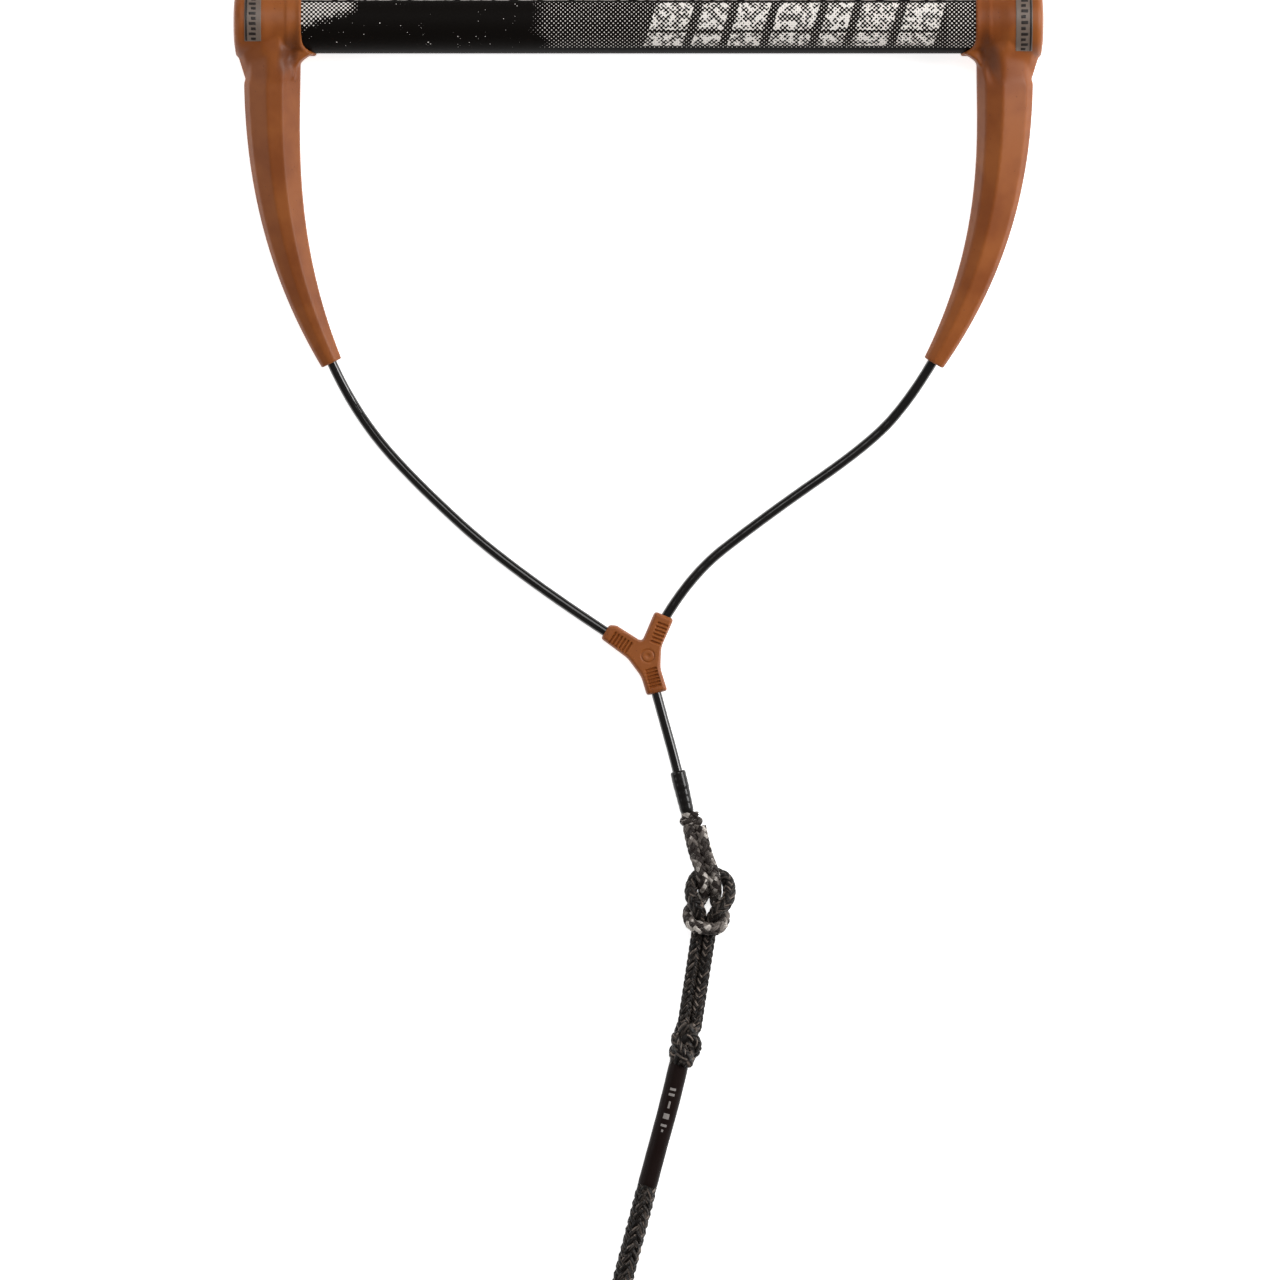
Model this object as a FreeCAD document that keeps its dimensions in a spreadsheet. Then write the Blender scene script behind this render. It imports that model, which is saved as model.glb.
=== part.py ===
import FreeCAD, Part
import math
import os
import Sketcher

# A tow handle for wakeboarding, lying flat with its bridle and the rope section hitched to it.
# Frame: origin at the middle of the bar's axis, +X along the bar, -Y towards the rope, +Z up.
# Lengths are millimetres and angles are degrees.

Vector = FreeCAD.Vector
Rotation = FreeCAD.Rotation
Placement = FreeCAD.Placement

os.makedirs("parts", exist_ok=True)
document = FreeCAD.newDocument("tow_handle")

SIZES = (
    # the bar
    ("overall_width", 381.0),
    ("tube_diameter", 25.4),
    ("tube_wall", 1.6),
    ("grip_diameter", 29.0),
    ("plug_length", 26.0),
    # the moulded end fittings
    ("collar_length", 32.0),
    ("collar_wall", 2.3),
    ("collar_face_diameter", 20.0),
    ("collar_crown", 2.0),
    ("lip_depth", 5.0),
    ("end_wall", 8.5),
    ("horn_reach", 160.4),
    ("horn_start", 28.3),
    ("horn_outset", 17.9),
    ("horn_bow", 2.36),
    ("horn_taper", 1.4),
    ("root_width", 26.5),
    ("root_thickness", 26.0),
    ("tip_width", 10.2),
    ("tip_thickness", 9.6),
    ("tip_lift", 0.6),
    ("tip_inset_left", 27.7),
    ("tip_inset_right", 33.3),
    ("shoulder_start", 4.0),
    ("shoulder_width", 31.0),
    ("shoulder_thickness", 30.0),
    ("gusset_reach", 6.4),
    ("gusset_thickness", 18.0),
    # the hardware in the collars
    ("screw_diameter", 5.0),
    ("screw_length", 21.0),
    ("head_diameter", 9.0),
    ("head_height", 2.4),
    ("washer_diameter", 11.0),
    ("washer_thickness", 1.0),
    ("recess_depth", 3.8),
    ("socket_width", 3.0),
    ("badge_width", 7.8),
    ("badge_reach", 13.6),
    ("badge_thickness", 0.4),
    ("badge_inset", 5.4),
    ("ferrule_diameter", 8.0),
    ("ferrule_length", 11.0),
    # the bridle and its tail
    ("line_diameter", 4.8),
    ("yoke_thickness", 8.4),
    ("yoke_edge", 1.6),
    ("splice_diameter", 6.2),
    ("splice_length", 9.0),
    ("sleeve_length", 20.2),
    ("sleeve_top", 7.1),
    ("sleeve_end", 6.0),
    ("eye_diameter", 5.0),
    ("throat_length", 8.4),
    ("throat_width", 11.0),
    # the rope section
    ("strand_diameter", 5.4),
    ("rope_diameter", 9.8),
    ("knot_length", 14.0),
    ("knot_width", 15.3),
    ("knot_height", 13.0),
    ("label_diameter", 9.2),
    ("label_wall", 0.6),
    ("coil_diameter", 110.0),
    ("coil_width", 19.8),
    ("coil_height", 18.6),
    # fits: a clearance is on the radius
    ("press_gap", 0.02),
    ("bore_gap", 0.1),
    ("slide_gap", 0.2),
)

sizes = document.addObject("Spreadsheet::Sheet", "sizes")
for row, (alias, value) in enumerate(SIZES, start=1):
    sizes.set(f"A{row}", alias)
    sizes.set(f"B{row}", str(value))
    sizes.setAlias(f"B{row}", alias)
document.recompute()
SIZE = dict(SIZES)

# The collars go round the grip, and the handle lies on them.
COLLAR = "(<grip_diameter>/2+<collar_wall>)"
COLLAR_RADIUS = SIZE["grip_diameter"] / 2 + SIZE["collar_wall"]
FLOOR = -COLLAR_RADIUS
# The handle rests on its collars and on its horn tips, so the horns lean down by this angle.
TIP_DROP = COLLAR_RADIUS - SIZE["tip_thickness"] / 2 - SIZE["tip_lift"]
LEAN = math.degrees(math.asin(TIP_DROP / SIZE["horn_reach"]))

nodes = {}


# ---------------------------------------------------------------- building blocks

def keep(item, name):
    """Make an object a sub-part under its own name."""
    item.Label = name
    nodes[name] = item
    return item


def named(text):
    """Turn size names in a short formula into references to the sheet."""
    for alias in sorted(SIZE, key=len, reverse=True):
        text = text.replace(f"<{alias}>", f"sizes.{alias}")
    return text


def origin_plane(body, role):
    return next(plane for plane in body.Origin.OriginFeatures if plane.Role == role)


def outline_sketch(body, name, role, points):
    """A closed outline whose corners are bound to the sheet, on one of the body's own planes."""
    sketch = body.newObject("Sketcher::SketchObject", name)
    sketch.AttachmentSupport = [(origin_plane(body, role), "")]
    sketch.MapMode = "FlatFace"
    count = len(points)
    start = [Vector(10 + 5 * math.cos(k * 2 * math.pi / count), 10 + 5 * math.sin(k * 2 * math.pi / count), 0)
             for k in range(count)]
    sides = [sketch.addGeometry(Part.LineSegment(start[k], start[(k + 1) % count])) for k in range(count)]
    for k in range(count):
        sketch.addConstraint(Sketcher.Constraint("Coincident", sides[k], 2, sides[(k + 1) % count], 1))
    for k, point in enumerate(points):
        for kind, formula in zip(("DistanceX", "DistanceY"), point):
            number = sketch.addConstraint(Sketcher.Constraint(kind, -1, 1, sides[k], 1, 1.0))
            sketch.setExpression(f"Constraints[{number}]", named(formula))
    return sketch


def revolve(body, name, sketch, cutting=False, axis="H_Axis"):
    kind = "PartDesign::Groove" if cutting else "PartDesign::Revolution"
    turned = body.newObject(kind, name)
    turned.Profile = sketch
    turned.ReferenceAxis = (sketch, [axis])
    turned.Angle = 360
    sketch.Visibility = False
    return turned


def turned_part(name, profile, side=1, place=None):
    """A part turned about X from (distance along X, radius) corners, mirrored where side is -1."""
    body = document.addObject("PartDesign::Body", name)
    points = [(f"{side}*({along})", radius) for along, radius in profile]
    sketch = outline_sketch(body, f"{name}_profile", "XY_Plane", points)
    revolve(body, f"{name}_turn", sketch)
    if place is not None:
        body.Placement = place
    return keep(body, name)


def along_run(start, end):
    """Where a part turned about X goes, so that it starts at one point and heads for another."""
    return Placement(start, Rotation(Vector(1, 0, 0), end - start))


def route(points):
    """Straight runs joined by tangent arcs, each as large as its two runs allow."""
    edges = []
    radii = []
    start = points[0]
    for before, corner, after in zip(points, points[1:], points[2:]):
        back, on = before - corner, after - corner
        half_turn = (math.pi - back.getAngle(on)) / 2
        cut = 0.45 * min(back.Length, on.Length)
        radius = cut / math.tan(half_turn)
        radii.append(radius)
        back.normalize()
        on.normalize()
        enter, leave = corner + back * cut, corner + on * cut
        middle = corner + (back + on).normalize() * (math.hypot(cut, radius) - radius)
        edges.append(Part.LineSegment(start, enter).toShape())
        edges.append(Part.Arc(enter, middle, leave).toShape())
        start = leave
    edges.append(Part.LineSegment(start, points[-1]).toShape())
    return Part.Wire(edges), radii


cord_reports = []


def cord_solid(name, points, radius, report=True):
    """A round tube along a route. radius is a formula over the sheet."""
    wire, radii = route(points)
    spine = document.addObject("Part::Feature", f"{name}_route")
    spine.Shape = wire
    section = document.addObject("Part::Circle", f"{name}_section")
    section.setExpression("Radius", named(radius))
    section.Placement = Placement(points[0], Rotation(Vector(0, 0, 1), points[1] - points[0]))
    tube = document.addObject("Part::Sweep", f"{name}_tube")
    tube.Sections = [section]
    tube.Spine = (spine, [f"Edge{k + 1}" for k in range(len(wire.Edges))])
    tube.Solid = True
    tube.Frenet = False
    if report:
        cord_reports.append((name, tube, wire.Length, radii, section))
    return tube


def cut_away(name, base, tools):
    """Base with several tools taken out of it."""
    result = base
    for number, tool in enumerate(tools, start=1):
        step = document.addObject("Part::Cut", f"{name}_cut{number}")
        step.Base = result
        step.Tool = tool
        result = step
    return result


def rod(name, start, end, radius, length=None):
    """A plain cylinder from one point towards another."""
    cylinder = document.addObject("Part::Cylinder", name)
    cylinder.setExpression("Radius", named(radius))
    if length is None:
        cylinder.Height = (end - start).Length
    else:
        cylinder.setExpression("Height", named(length))
    cylinder.Placement = Placement(start, Rotation(Vector(0, 0, 1), end - start))
    return cylinder


# ---------------------------------------------------------------- routes of the cords, chosen by hand

BRIDLE_LEFT = [Vector(*point) for point in (
    (-172.6, -13.4, -1.0), (-172.0, -54.9, -4.1), (-168.9, -84.8, -6.4), (-162.4, -114.7, -8.6),
    (-152.0, -144.6, -10.9), (-135.0, -180.8, -13.9), (-111.0, -211.2, -14.4), (-58.2, -259.7, -14.2),
    (-1.0, -296.3, -12.6))]

BRIDLE_RIGHT = [Vector(*point) for point in (
    (172.6, -13.4, -1.0), (171.9, -54.9, -4.1), (168.1, -84.8, -6.4), (160.2, -114.7, -8.6),
    (147.7, -144.6, -10.9), (129.0, -176.0, -13.6), (109.8, -197.8, -14.4), (59.6, -232.6, -14.3),
    (20.1, -263.6, -14.2), (4.8, -294.6, -12.6))]

TAIL = [Vector(*point) for point in (
    (5.0, -303.2, -12.6), (11.3, -326.6, -12.9), (17.6, -349.0, -13.2), (22.9, -371.4, -13.2))]

# The hitch has its own frame: across the rope, along it towards the handle, and up.
HITCH_CENTRE = Vector(33.2, -413.5, FLOOR + 7.4)
HITCH_HEADING = 8.7
hitch_place = Placement(HITCH_CENTRE, Rotation(Vector(0, 0, 1), -HITCH_HEADING))

EYE_LOOP = [hitch_place.multVec(Vector(*point)) for point in (
    (-14.7, 33.0, -2.2), (-10.8, 22.0, -0.8), (-5.5, 13.0, 1.8), (-2.7, 5.4, 0.6), (-2.9, -0.8, -5.0),
    (-9.2, -6.0, -4.4), (-7.0, -13.2, 4.6), (0.0, -13.4, 5.0), (7.0, -13.2, 4.6), (9.2, -6.0, -4.4),
    (2.9, -0.8, -5.0), (2.7, 5.4, 0.6), (0.1, 13.6, 1.8), (-5.0, 22.0, -0.8), (-9.2, 33.4, -2.2))]

MAIN_LOOP_SIDE = (
    (2.75, -62.0, -2.6), (2.75, -45.0, -4.4), (2.75, -29.0, -4.0), (2.8, -14.6, -3.4), (2.9, -5.4, 3.6),
    (9.6, 0.4, 2.6), (8.2, 11.0, -3.6))
MAIN_LOOP = [hitch_place.multVec(Vector(*point)) for point in (
    *MAIN_LOOP_SIDE, (0.0, 13.2, -4.6),
    *((-across, along, up) for across, along, up in reversed(MAIN_LOOP_SIDE)))]

SLEEVED_ROPE = [Vector(*point) for point in (
    (19.4, -489.6, -11.9), (15.0, -508.6, -11.9), (9.4, -528.6, -11.9), (4.1, -548.6, -11.9))]

MAIN_ROPE = [Vector(*point) for point in (
    (4.1, -548.6, -11.9), (-0.8, -568.0, -11.8), (-7.4, -592.6, -9.8), (-13.4, -616.1, -3.6))]

ROPE_END = [Vector(*point) for point in (
    (-40.4, -666.5, -11.9), (-37.0, -692.5, -11.9), (-23.0, -715.5, -11.9), (1.0, -731.5, -11.9),
    (28.0, -737.5, -11.9), (58.0, -736.5, -11.9))]

FAR_SLEEVED_ROPE = [Vector(*point) for point in (
    (58.0, -736.5, -11.9), (77.6, -736.1, -11.9), (97.4, -734.9, -11.9), (117.0, -733.5, -11.9))]

FAR_LOOP_SIDE = ((2.6, 4.6, 2.6), (3.6, 17.0, 0.4), (5.4, 30.0, 0.0), (7.0, 43.0, 0.0), (5.4, 52.4, 0.0))
FAR_LOOP_HEADING = 4.0

# Where the whipped throat, the knots and the coil lie.
THROAT_CENTRE, THROAT_HEADING = Vector(25.2, -377.0, -13.2), 15
LOOP_KNOT_CENTRE = (21.7, -482.6)
FAR_KNOT_CENTRE, FAR_KNOT_HEADING = (124.0, -733.0), 94
COIL_CENTRE = Vector(31.5, -665.5, FLOOR)

# How far the splice and the sleeve go past the ends of the tail line, and where the sleeve steps down.
SPLICE_PAST = 1.5
SLEEVE_PAST = 1
SLEEVE_STEP = 0.35

# How much a cord's volume may differ from its section times its length, and how deep a part may dip.
VOLUME_TOLERANCE = 0.01
FLOOR_TOLERANCE = 0.05
far_loop_place = Placement(
    Vector(*FAR_KNOT_CENTRE, FLOOR + 2.8), Rotation(Vector(0, 0, 1), FAR_LOOP_HEADING - 90))
FAR_LOOP = [far_loop_place.multVec(Vector(*point)) for point in (
    *FAR_LOOP_SIDE, (0.0, 56.0, 0.0), *((-across, along, up) for across, along, up in reversed(FAR_LOOP_SIDE)))]


# ---------------------------------------------------------------- the bar

END = "<overall_width>/2"
LIP = f"({END}-<collar_length>)"
TUBE_END = f"({END}-<end_wall>)"
TUBE_BORE = "(<tube_diameter>/2-<tube_wall>)"
PLUG_START = f"({TUBE_END}-<plug_length>)"


def bar_parts():
    turned_part("bar_tube", [
        (f"-1*{TUBE_END}", "<tube_diameter>/2"), (TUBE_END, "<tube_diameter>/2"),
        (TUBE_END, TUBE_BORE), (f"-1*{TUBE_END}", TUBE_BORE)])
    foam_end = f"({PLUG_START}-<slide_gap>)"
    turned_part("foam_core", [
        (f"-1*{foam_end}", "0"), (foam_end, "0"),
        (foam_end, f"{TUBE_BORE}-<slide_gap>"), (f"-1*{foam_end}", f"{TUBE_BORE}-<slide_gap>")])
    grip_end = f"({LIP}+<lip_depth>-<slide_gap>)"
    grip_bore = "(<tube_diameter>/2+<press_gap>)"
    turned_part("grip_wrap", [
        (f"-1*{grip_end}", grip_bore), (grip_end, grip_bore),
        (grip_end, "<grip_diameter>/2"), (f"-1*{grip_end}", "<grip_diameter>/2")])


# ---------------------------------------------------------------- the moulded end fittings

# Corners of the upper half of each horn's section, as shares of its half width and half thickness,
# from the side towards the hand. The lower half mirrors it.
HORN_FACETS = {
    "left": ((-1.0, 0.36), (-0.38, 0.97), (0.17, 1.0), (0.79, 0.66), (1.0, 0.26)),
    "right": ((-1.0, 0.32), (-0.70, 0.80), (-0.08, 1.0), (0.76, 0.64), (1.0, 0.26)),
}
HORN_STATIONS = 6
# The bridle's routes were chosen for end fittings that stand this far out.
ROUTE_HALF_WIDTH = 190.5
# Any turn but none, so that the expression which sets the angle keeps its axis.
FIRST_TURN = 10
SHOULDER_INSET = 0.4
# Corners of the web under the lip: from the collar's inner face, and below the bar's axis.
WEB_OUTLINE = (
    ("+8", "-5"), ("-0.2", "-5"), ("-<gusset_reach>", "-1*<grip_diameter>/2-0.4"),
    ("-<gusset_reach>+3", "-1*<grip_diameter>/2-2.6"), ("+0.2", "-1*<grip_diameter>/2-7"),
    ("+1.6", "-1*<grip_diameter>/2-14"), ("+8", "-1*<grip_diameter>/2-14"))
# How far the bores' cutters start inside the grip, and how far they reach past the collar.
BORE_LEAD, BORE_PAST = 20, 5
# The route's points that lie in a horn, the ferrule's distance from its line's end, and its pocket's lead.
CHANNEL_POINTS = 6
FERRULE_SEAT = 0.4
POCKET_LEAD = 3
# The screw: room past its point, the chamfers of its point and head, and its socket's share of the head.
SCREW_ROOM = 1
POINT_CHAMFER = 0.6
HEAD_CHAMFER = 0.4
SOCKET_SHARE = 0.6


def horn_section(body, name, side, reach, centre, angle, width, thickness):
    facets = HORN_FACETS["left" if side < 0 else "right"]
    around = facets + tuple((across, -up) for across, up in reversed(facets))
    corners = [(f"{side * across}*({width})/2", f"{up}*({thickness})/2") for across, up in around]
    sketch = outline_sketch(body, name, "XZ_Plane", corners)
    sketch.AttachmentOffset = Placement(Vector(), Rotation(Vector(0, 1, 0), FIRST_TURN))
    sketch.setExpression("AttachmentOffset.Base.z", named(reach))
    sketch.setExpression("AttachmentOffset.Base.x", named(f"{side}*({centre})"))
    sketch.setExpression("AttachmentOffset.Rotation.Angle", named(angle))
    sketch.Visibility = False
    return sketch


def end_fitting(word, side, line_route):
    name = f"end_fitting_{word}"
    body = document.addObject("PartDesign::Body", f"{name}_moulding")
    collar = outline_sketch(body, f"{name}_collar_profile", "XY_Plane", [
        (f"{side}*{LIP}", "0"), (f"{side}*({END})", "0"),
        (f"{side}*({END})", "<collar_face_diameter>/2"),
        (f"{side}*({END}-<collar_crown>)", COLLAR),
        (f"{side}*{LIP}", COLLAR)])
    revolve(body, f"{name}_collar", collar)

    inset = f"<tip_inset_{word}>"
    sections = [horn_section(
        body, f"{name}_shoulder", side, "<shoulder_start>", f"{END}-<shoulder_width>/2-{SHOULDER_INSET}", "0",
        "<shoulder_width>", "<shoulder_thickness>")]
    for station in range(HORN_STATIONS):
        share = station / (HORN_STATIONS - 1)
        bow = share ** SIZE["horn_bow"]
        sections.append(horn_section(
            body, f"{name}_section{station}", side,
            f"<horn_start>+{share}*(<horn_reach>-<horn_start>)",
            f"{END}-<horn_outset>-{bow}*{inset}",
            f"{-side}*atan({share ** (SIZE['horn_bow'] - 1)}*<horn_bow>*{inset}/(<horn_reach>-<horn_start>))",
            f"<tip_width>+(<root_width>-<tip_width>)*{1 - share ** SIZE['horn_taper']}",
            f"<tip_thickness>+(<root_thickness>-<tip_thickness>)*{1 - share ** SIZE['horn_taper']}"))
    horn = body.newObject("PartDesign::AdditiveLoft", f"{name}_horn")
    horn.Profile = sections[0]
    horn.Sections = sections[1:]
    horn.Ruled = False

    gusset = outline_sketch(body, f"{name}_gusset_outline", "XY_Plane", [
        (f"{side}*({LIP}{across})", down) for across, down in WEB_OUTLINE])
    web = body.newObject("PartDesign::Pad", f"{name}_gusset")
    web.Profile = gusset
    web.SideType = "Symmetric"
    web.setExpression("Length", named("<gusset_thickness>"))

    lip_end = f"({LIP}+<lip_depth>)"
    tube_stop = f"({TUBE_END}+<slide_gap>)"
    lip_bore = "(<grip_diameter>/2+<bore_gap>)"
    tube_bore = "(<tube_diameter>/2+<bore_gap>)"
    screw_bore = "(<screw_diameter>/2+<slide_gap>)"
    recess_floor = f"({END}-<recess_depth>)"
    recess_bore = "(<washer_diameter>/2+<slide_gap>)"
    bore_profile = [
        (f"{LIP}-{BORE_LEAD}", "0"), (f"{LIP}-{BORE_LEAD}", lip_bore), (lip_end, lip_bore), (lip_end, tube_bore),
        (tube_stop, tube_bore), (tube_stop, screw_bore), (recess_floor, screw_bore),
        (recess_floor, recess_bore), (f"{END}+{BORE_PAST}", recess_bore), (f"{END}+{BORE_PAST}", "0")]
    bores = outline_sketch(body, f"{name}_bore_profile", "XY_Plane",
                           [(f"{side}*({along})", radius) for along, radius in bore_profile])
    revolve(body, f"{name}_bores", bores, cutting=True)
    body.Placement = Placement(Vector(), Rotation(Vector(1, 0, 0), LEAN))

    outward = Vector(side * (SIZE["overall_width"] / 2 - ROUTE_HALF_WIDTH), 0, 0)
    inner_route = [point + outward for point in line_route[:CHANNEL_POINTS]]
    start, heading = inner_route[0], inner_route[1] - inner_route[0]
    heading.normalize()
    ferrule_top = start + heading * FERRULE_SEAT
    ferrule_end = ferrule_top + heading * SIZE["ferrule_length"]
    pocket = rod(f"{name}_pocket", start - heading * POCKET_LEAD, ferrule_end + heading * SIZE["slide_gap"],
                 "<ferrule_diameter>/2+<bore_gap>")
    channel = cord_solid(f"{name}_channel", inner_route, "<line_diameter>/2+<bore_gap>", report=False)
    keep(cut_away(name, body, [pocket, channel]), name)

    turned_part(f"ferrule_{word}", [
        ("0", "<line_diameter>/2+<bore_gap>"), ("<ferrule_length>", "<line_diameter>/2+<bore_gap>"),
        ("<ferrule_length>", "<ferrule_diameter>/2"), ("0", "<ferrule_diameter>/2")],
        place=along_run(ferrule_top, ferrule_end))

    plug_bore = "(<screw_diameter>/2+<press_gap>)"
    turned_part(f"end_plug_{word}", [
        (PLUG_START, "0"), (PLUG_START, f"{TUBE_BORE}-<press_gap>"), (TUBE_END, f"{TUBE_BORE}-<press_gap>"),
        (TUBE_END, plug_bore), (f"{recess_floor}-<screw_length>-{SCREW_ROOM}", plug_bore),
        (f"{recess_floor}-<screw_length>-{SCREW_ROOM}", "0")], side)

    washer_top = f"({recess_floor}+<washer_thickness>)"
    turned_part(f"end_washer_{word}", [
        (recess_floor, "<screw_diameter>/2+<bore_gap>"), (washer_top, "<screw_diameter>/2+<bore_gap>"),
        (washer_top, "<washer_diameter>/2"), (recess_floor, "<washer_diameter>/2")], side)
    head_top = f"({washer_top}+<head_height>)"
    socket_floor = f"({head_top}-<head_height>*{SOCKET_SHARE})"
    turned_part(f"end_screw_{word}", [
        (f"{recess_floor}-<screw_length>", "0"),
        (f"{recess_floor}-<screw_length>", f"<screw_diameter>/2-{POINT_CHAMFER}"),
        (f"{recess_floor}-<screw_length>+{POINT_CHAMFER}", "<screw_diameter>/2"),
        (washer_top, "<screw_diameter>/2"),
        (washer_top, "<head_diameter>/2"), (f"{head_top}-{HEAD_CHAMFER}", "<head_diameter>/2"),
        (head_top, f"<head_diameter>/2-{HEAD_CHAMFER}"), (head_top, "<socket_width>/2"),
        (socket_floor, "<socket_width>/2"), (socket_floor, "0")], side)
    badge(word, side)


def badge(word, side):
    """A thin plate that follows the collar's crown, cut to its length by a block."""
    shell = document.addObject("PartDesign::Body", f"badge_{word}_shell")
    near = f"({END}-<badge_inset>)"
    profile = [(near, COLLAR), (near, f"{COLLAR}+<badge_thickness>"),
               (f"{near}-<badge_width>", f"{COLLAR}+<badge_thickness>"),
               (f"{near}-<badge_width>", COLLAR)]
    sketch = outline_sketch(shell, f"badge_{word}_profile", "XY_Plane",
                            [(f"{side}*({along})", radius) for along, radius in profile])
    revolve(shell, f"badge_{word}_ring", sketch)
    block = document.addObject("Part::Box", f"badge_{word}_block")
    block.setExpression("Length", "sizes.overall_width")
    block.setExpression("Width", "2*sizes.badge_reach")
    block.setExpression("Height", named(f"2*{COLLAR}"))
    block.setExpression("Placement.Base.x", "-sizes.overall_width/2")
    block.setExpression("Placement.Base.y", "-sizes.badge_reach")
    plate = document.addObject("Part::Common", f"badge_{word}_plate")
    plate.Base = shell
    plate.Tool = block
    keep(plate, f"badge_{word}")


# ---------------------------------------------------------------- the bridle

YOKE_CENTRE = Vector(3.8, -298.1, FLOOR + SIZE["yoke_thickness"] / 2)
# Corners of the yoke from the middle of it, round from the left arm's end.
YOKE_OUTLINE = (
    (-22.5, 8.5), (-18.1, 15.1), (-2.6, 7.0), (3.6, 20.8), (13.0, 17.0), (7.2, -0.6),
    (9.4, -16.6), (0.2, -19.0), (-2.4, -8.6), (-5.0, -5.6))


def yoke():
    body = document.addObject("PartDesign::Body", "y_connector_moulding")
    corners = [(str(across), str(along)) for across, along in YOKE_OUTLINE]
    sketch = outline_sketch(body, "y_connector_outline", "XY_Plane", corners)
    pad = body.newObject("PartDesign::Pad", "y_connector_plate")
    pad.Profile = sketch
    pad.SideType = "Symmetric"
    pad.setExpression("Length", named("<yoke_thickness>"))
    document.recompute()
    soft = body.newObject("PartDesign::Chamfer", "y_connector_edges")
    rims = [f"Edge{k + 1}" for k, edge in enumerate(pad.Shape.Edges)
            if abs(edge.Vertexes[0].Z - edge.Vertexes[-1].Z) < 1e-6]
    soft.Base = (pad, rims)
    soft.setExpression("Size", named("<yoke_edge>"))
    body.Placement = Placement(YOKE_CENTRE, Rotation())

    tail_start, tail_heading = TAIL[0], TAIL[1] - TAIL[0]
    tail_heading.normalize()
    splice_end = tail_start + tail_heading * SPLICE_PAST
    splice_start = splice_end - tail_heading * SIZE["splice_length"]
    bore = "<line_diameter>/2+<press_gap>"
    tools = [cord_solid("y_connector_left_bore", BRIDLE_LEFT[-2:], bore, report=False),
             cord_solid("y_connector_right_bore", BRIDLE_RIGHT[-2:], bore, report=False),
             cord_solid("y_connector_tail_bore", TAIL[:2], bore, report=False),
             rod("y_connector_pocket", splice_start, splice_end, "<splice_diameter>/2+<press_gap>")]
    keep(cut_away("y_connector", body, tools), "y_connector")
    turned_part("y_splice", [
        ("0", "0"), ("<splice_length>", "0"), ("<splice_length>", "<splice_diameter>/2"),
        ("0", "<splice_diameter>/2")], place=along_run(splice_start, splice_end))


def bridle_lines():
    line = "<line_diameter>/2"
    keep(cord_solid("bridle_line_left", BRIDLE_LEFT, line), "bridle_line_left")
    keep(cord_solid("bridle_line_right", BRIDLE_RIGHT, line), "bridle_line_right")
    keep(cord_solid("tail_line", TAIL, line), "tail_line")


# ---------------------------------------------------------------- the tail's sleeve, eye and hitch

def tail_parts():
    heading = (TAIL[-1] - TAIL[-2]).normalize()
    sleeve_start = TAIL[-1] - heading * (SIZE["sleeve_length"] - SLEEVE_PAST)
    bore = "<line_diameter>/2+<bore_gap>"
    turned_part("shrink_sleeve", [
        ("0", bore), ("<sleeve_length>", bore), ("<sleeve_length>", "<sleeve_end>/2"),
        (f"<sleeve_length>*{SLEEVE_STEP}", "<sleeve_top>/2"), ("0", "<sleeve_top>/2")],
        place=along_run(sleeve_start, TAIL[-1]))
    throat = document.addObject("Part::Ellipsoid", "eye_throat_lump")
    throat.setExpression("Radius1", "sizes.sleeve_top/2")
    throat.setExpression("Radius2", "sizes.throat_width/2")
    throat.setExpression("Radius3", "sizes.throat_length/2")
    throat.Placement = Placement(THROAT_CENTRE, Rotation(Vector(0, 0, 1), THROAT_HEADING))
    keep(throat, "eye_throat")
    keep(cord_solid("eye_loop", EYE_LOOP, "<eye_diameter>/2"), "eye_loop")
    keep(cord_solid("main_loop", MAIN_LOOP, "<strand_diameter>/2"), "main_loop")


# ---------------------------------------------------------------- the rope section

def knot(name, centre, heading):
    """An overhand knot's outer shape: an egg as long, wide and high as the knot."""
    lump = document.addObject("Part::Ellipsoid", f"{name}_lump")
    lump.setExpression("Radius1", "sizes.knot_height/2")
    lump.setExpression("Radius2", "sizes.knot_width/2")
    lump.setExpression("Radius3", "sizes.knot_length/2")
    lump.Placement = Placement(Vector(centre[0], centre[1], FLOOR + SIZE["knot_height"] / 2),
                               Rotation(Vector(0, 0, 1), heading))
    keep(lump, name)


def label_sleeve(name, points):
    """A thin shrunk sleeve over the rope: a tube with the rope's route taken out of it."""
    outer = cord_solid(f"{name}_skin", points, "<label_diameter>/2", report=False)
    longer = [points[0] * 2 - points[1]] + points[1:-1] + [points[-1] * 2 - points[-2]]
    inner = cord_solid(f"{name}_bore", longer, "<label_diameter>/2-<label_wall>", report=False)
    keep(cut_away(name, outer, [inner]), name)


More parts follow.
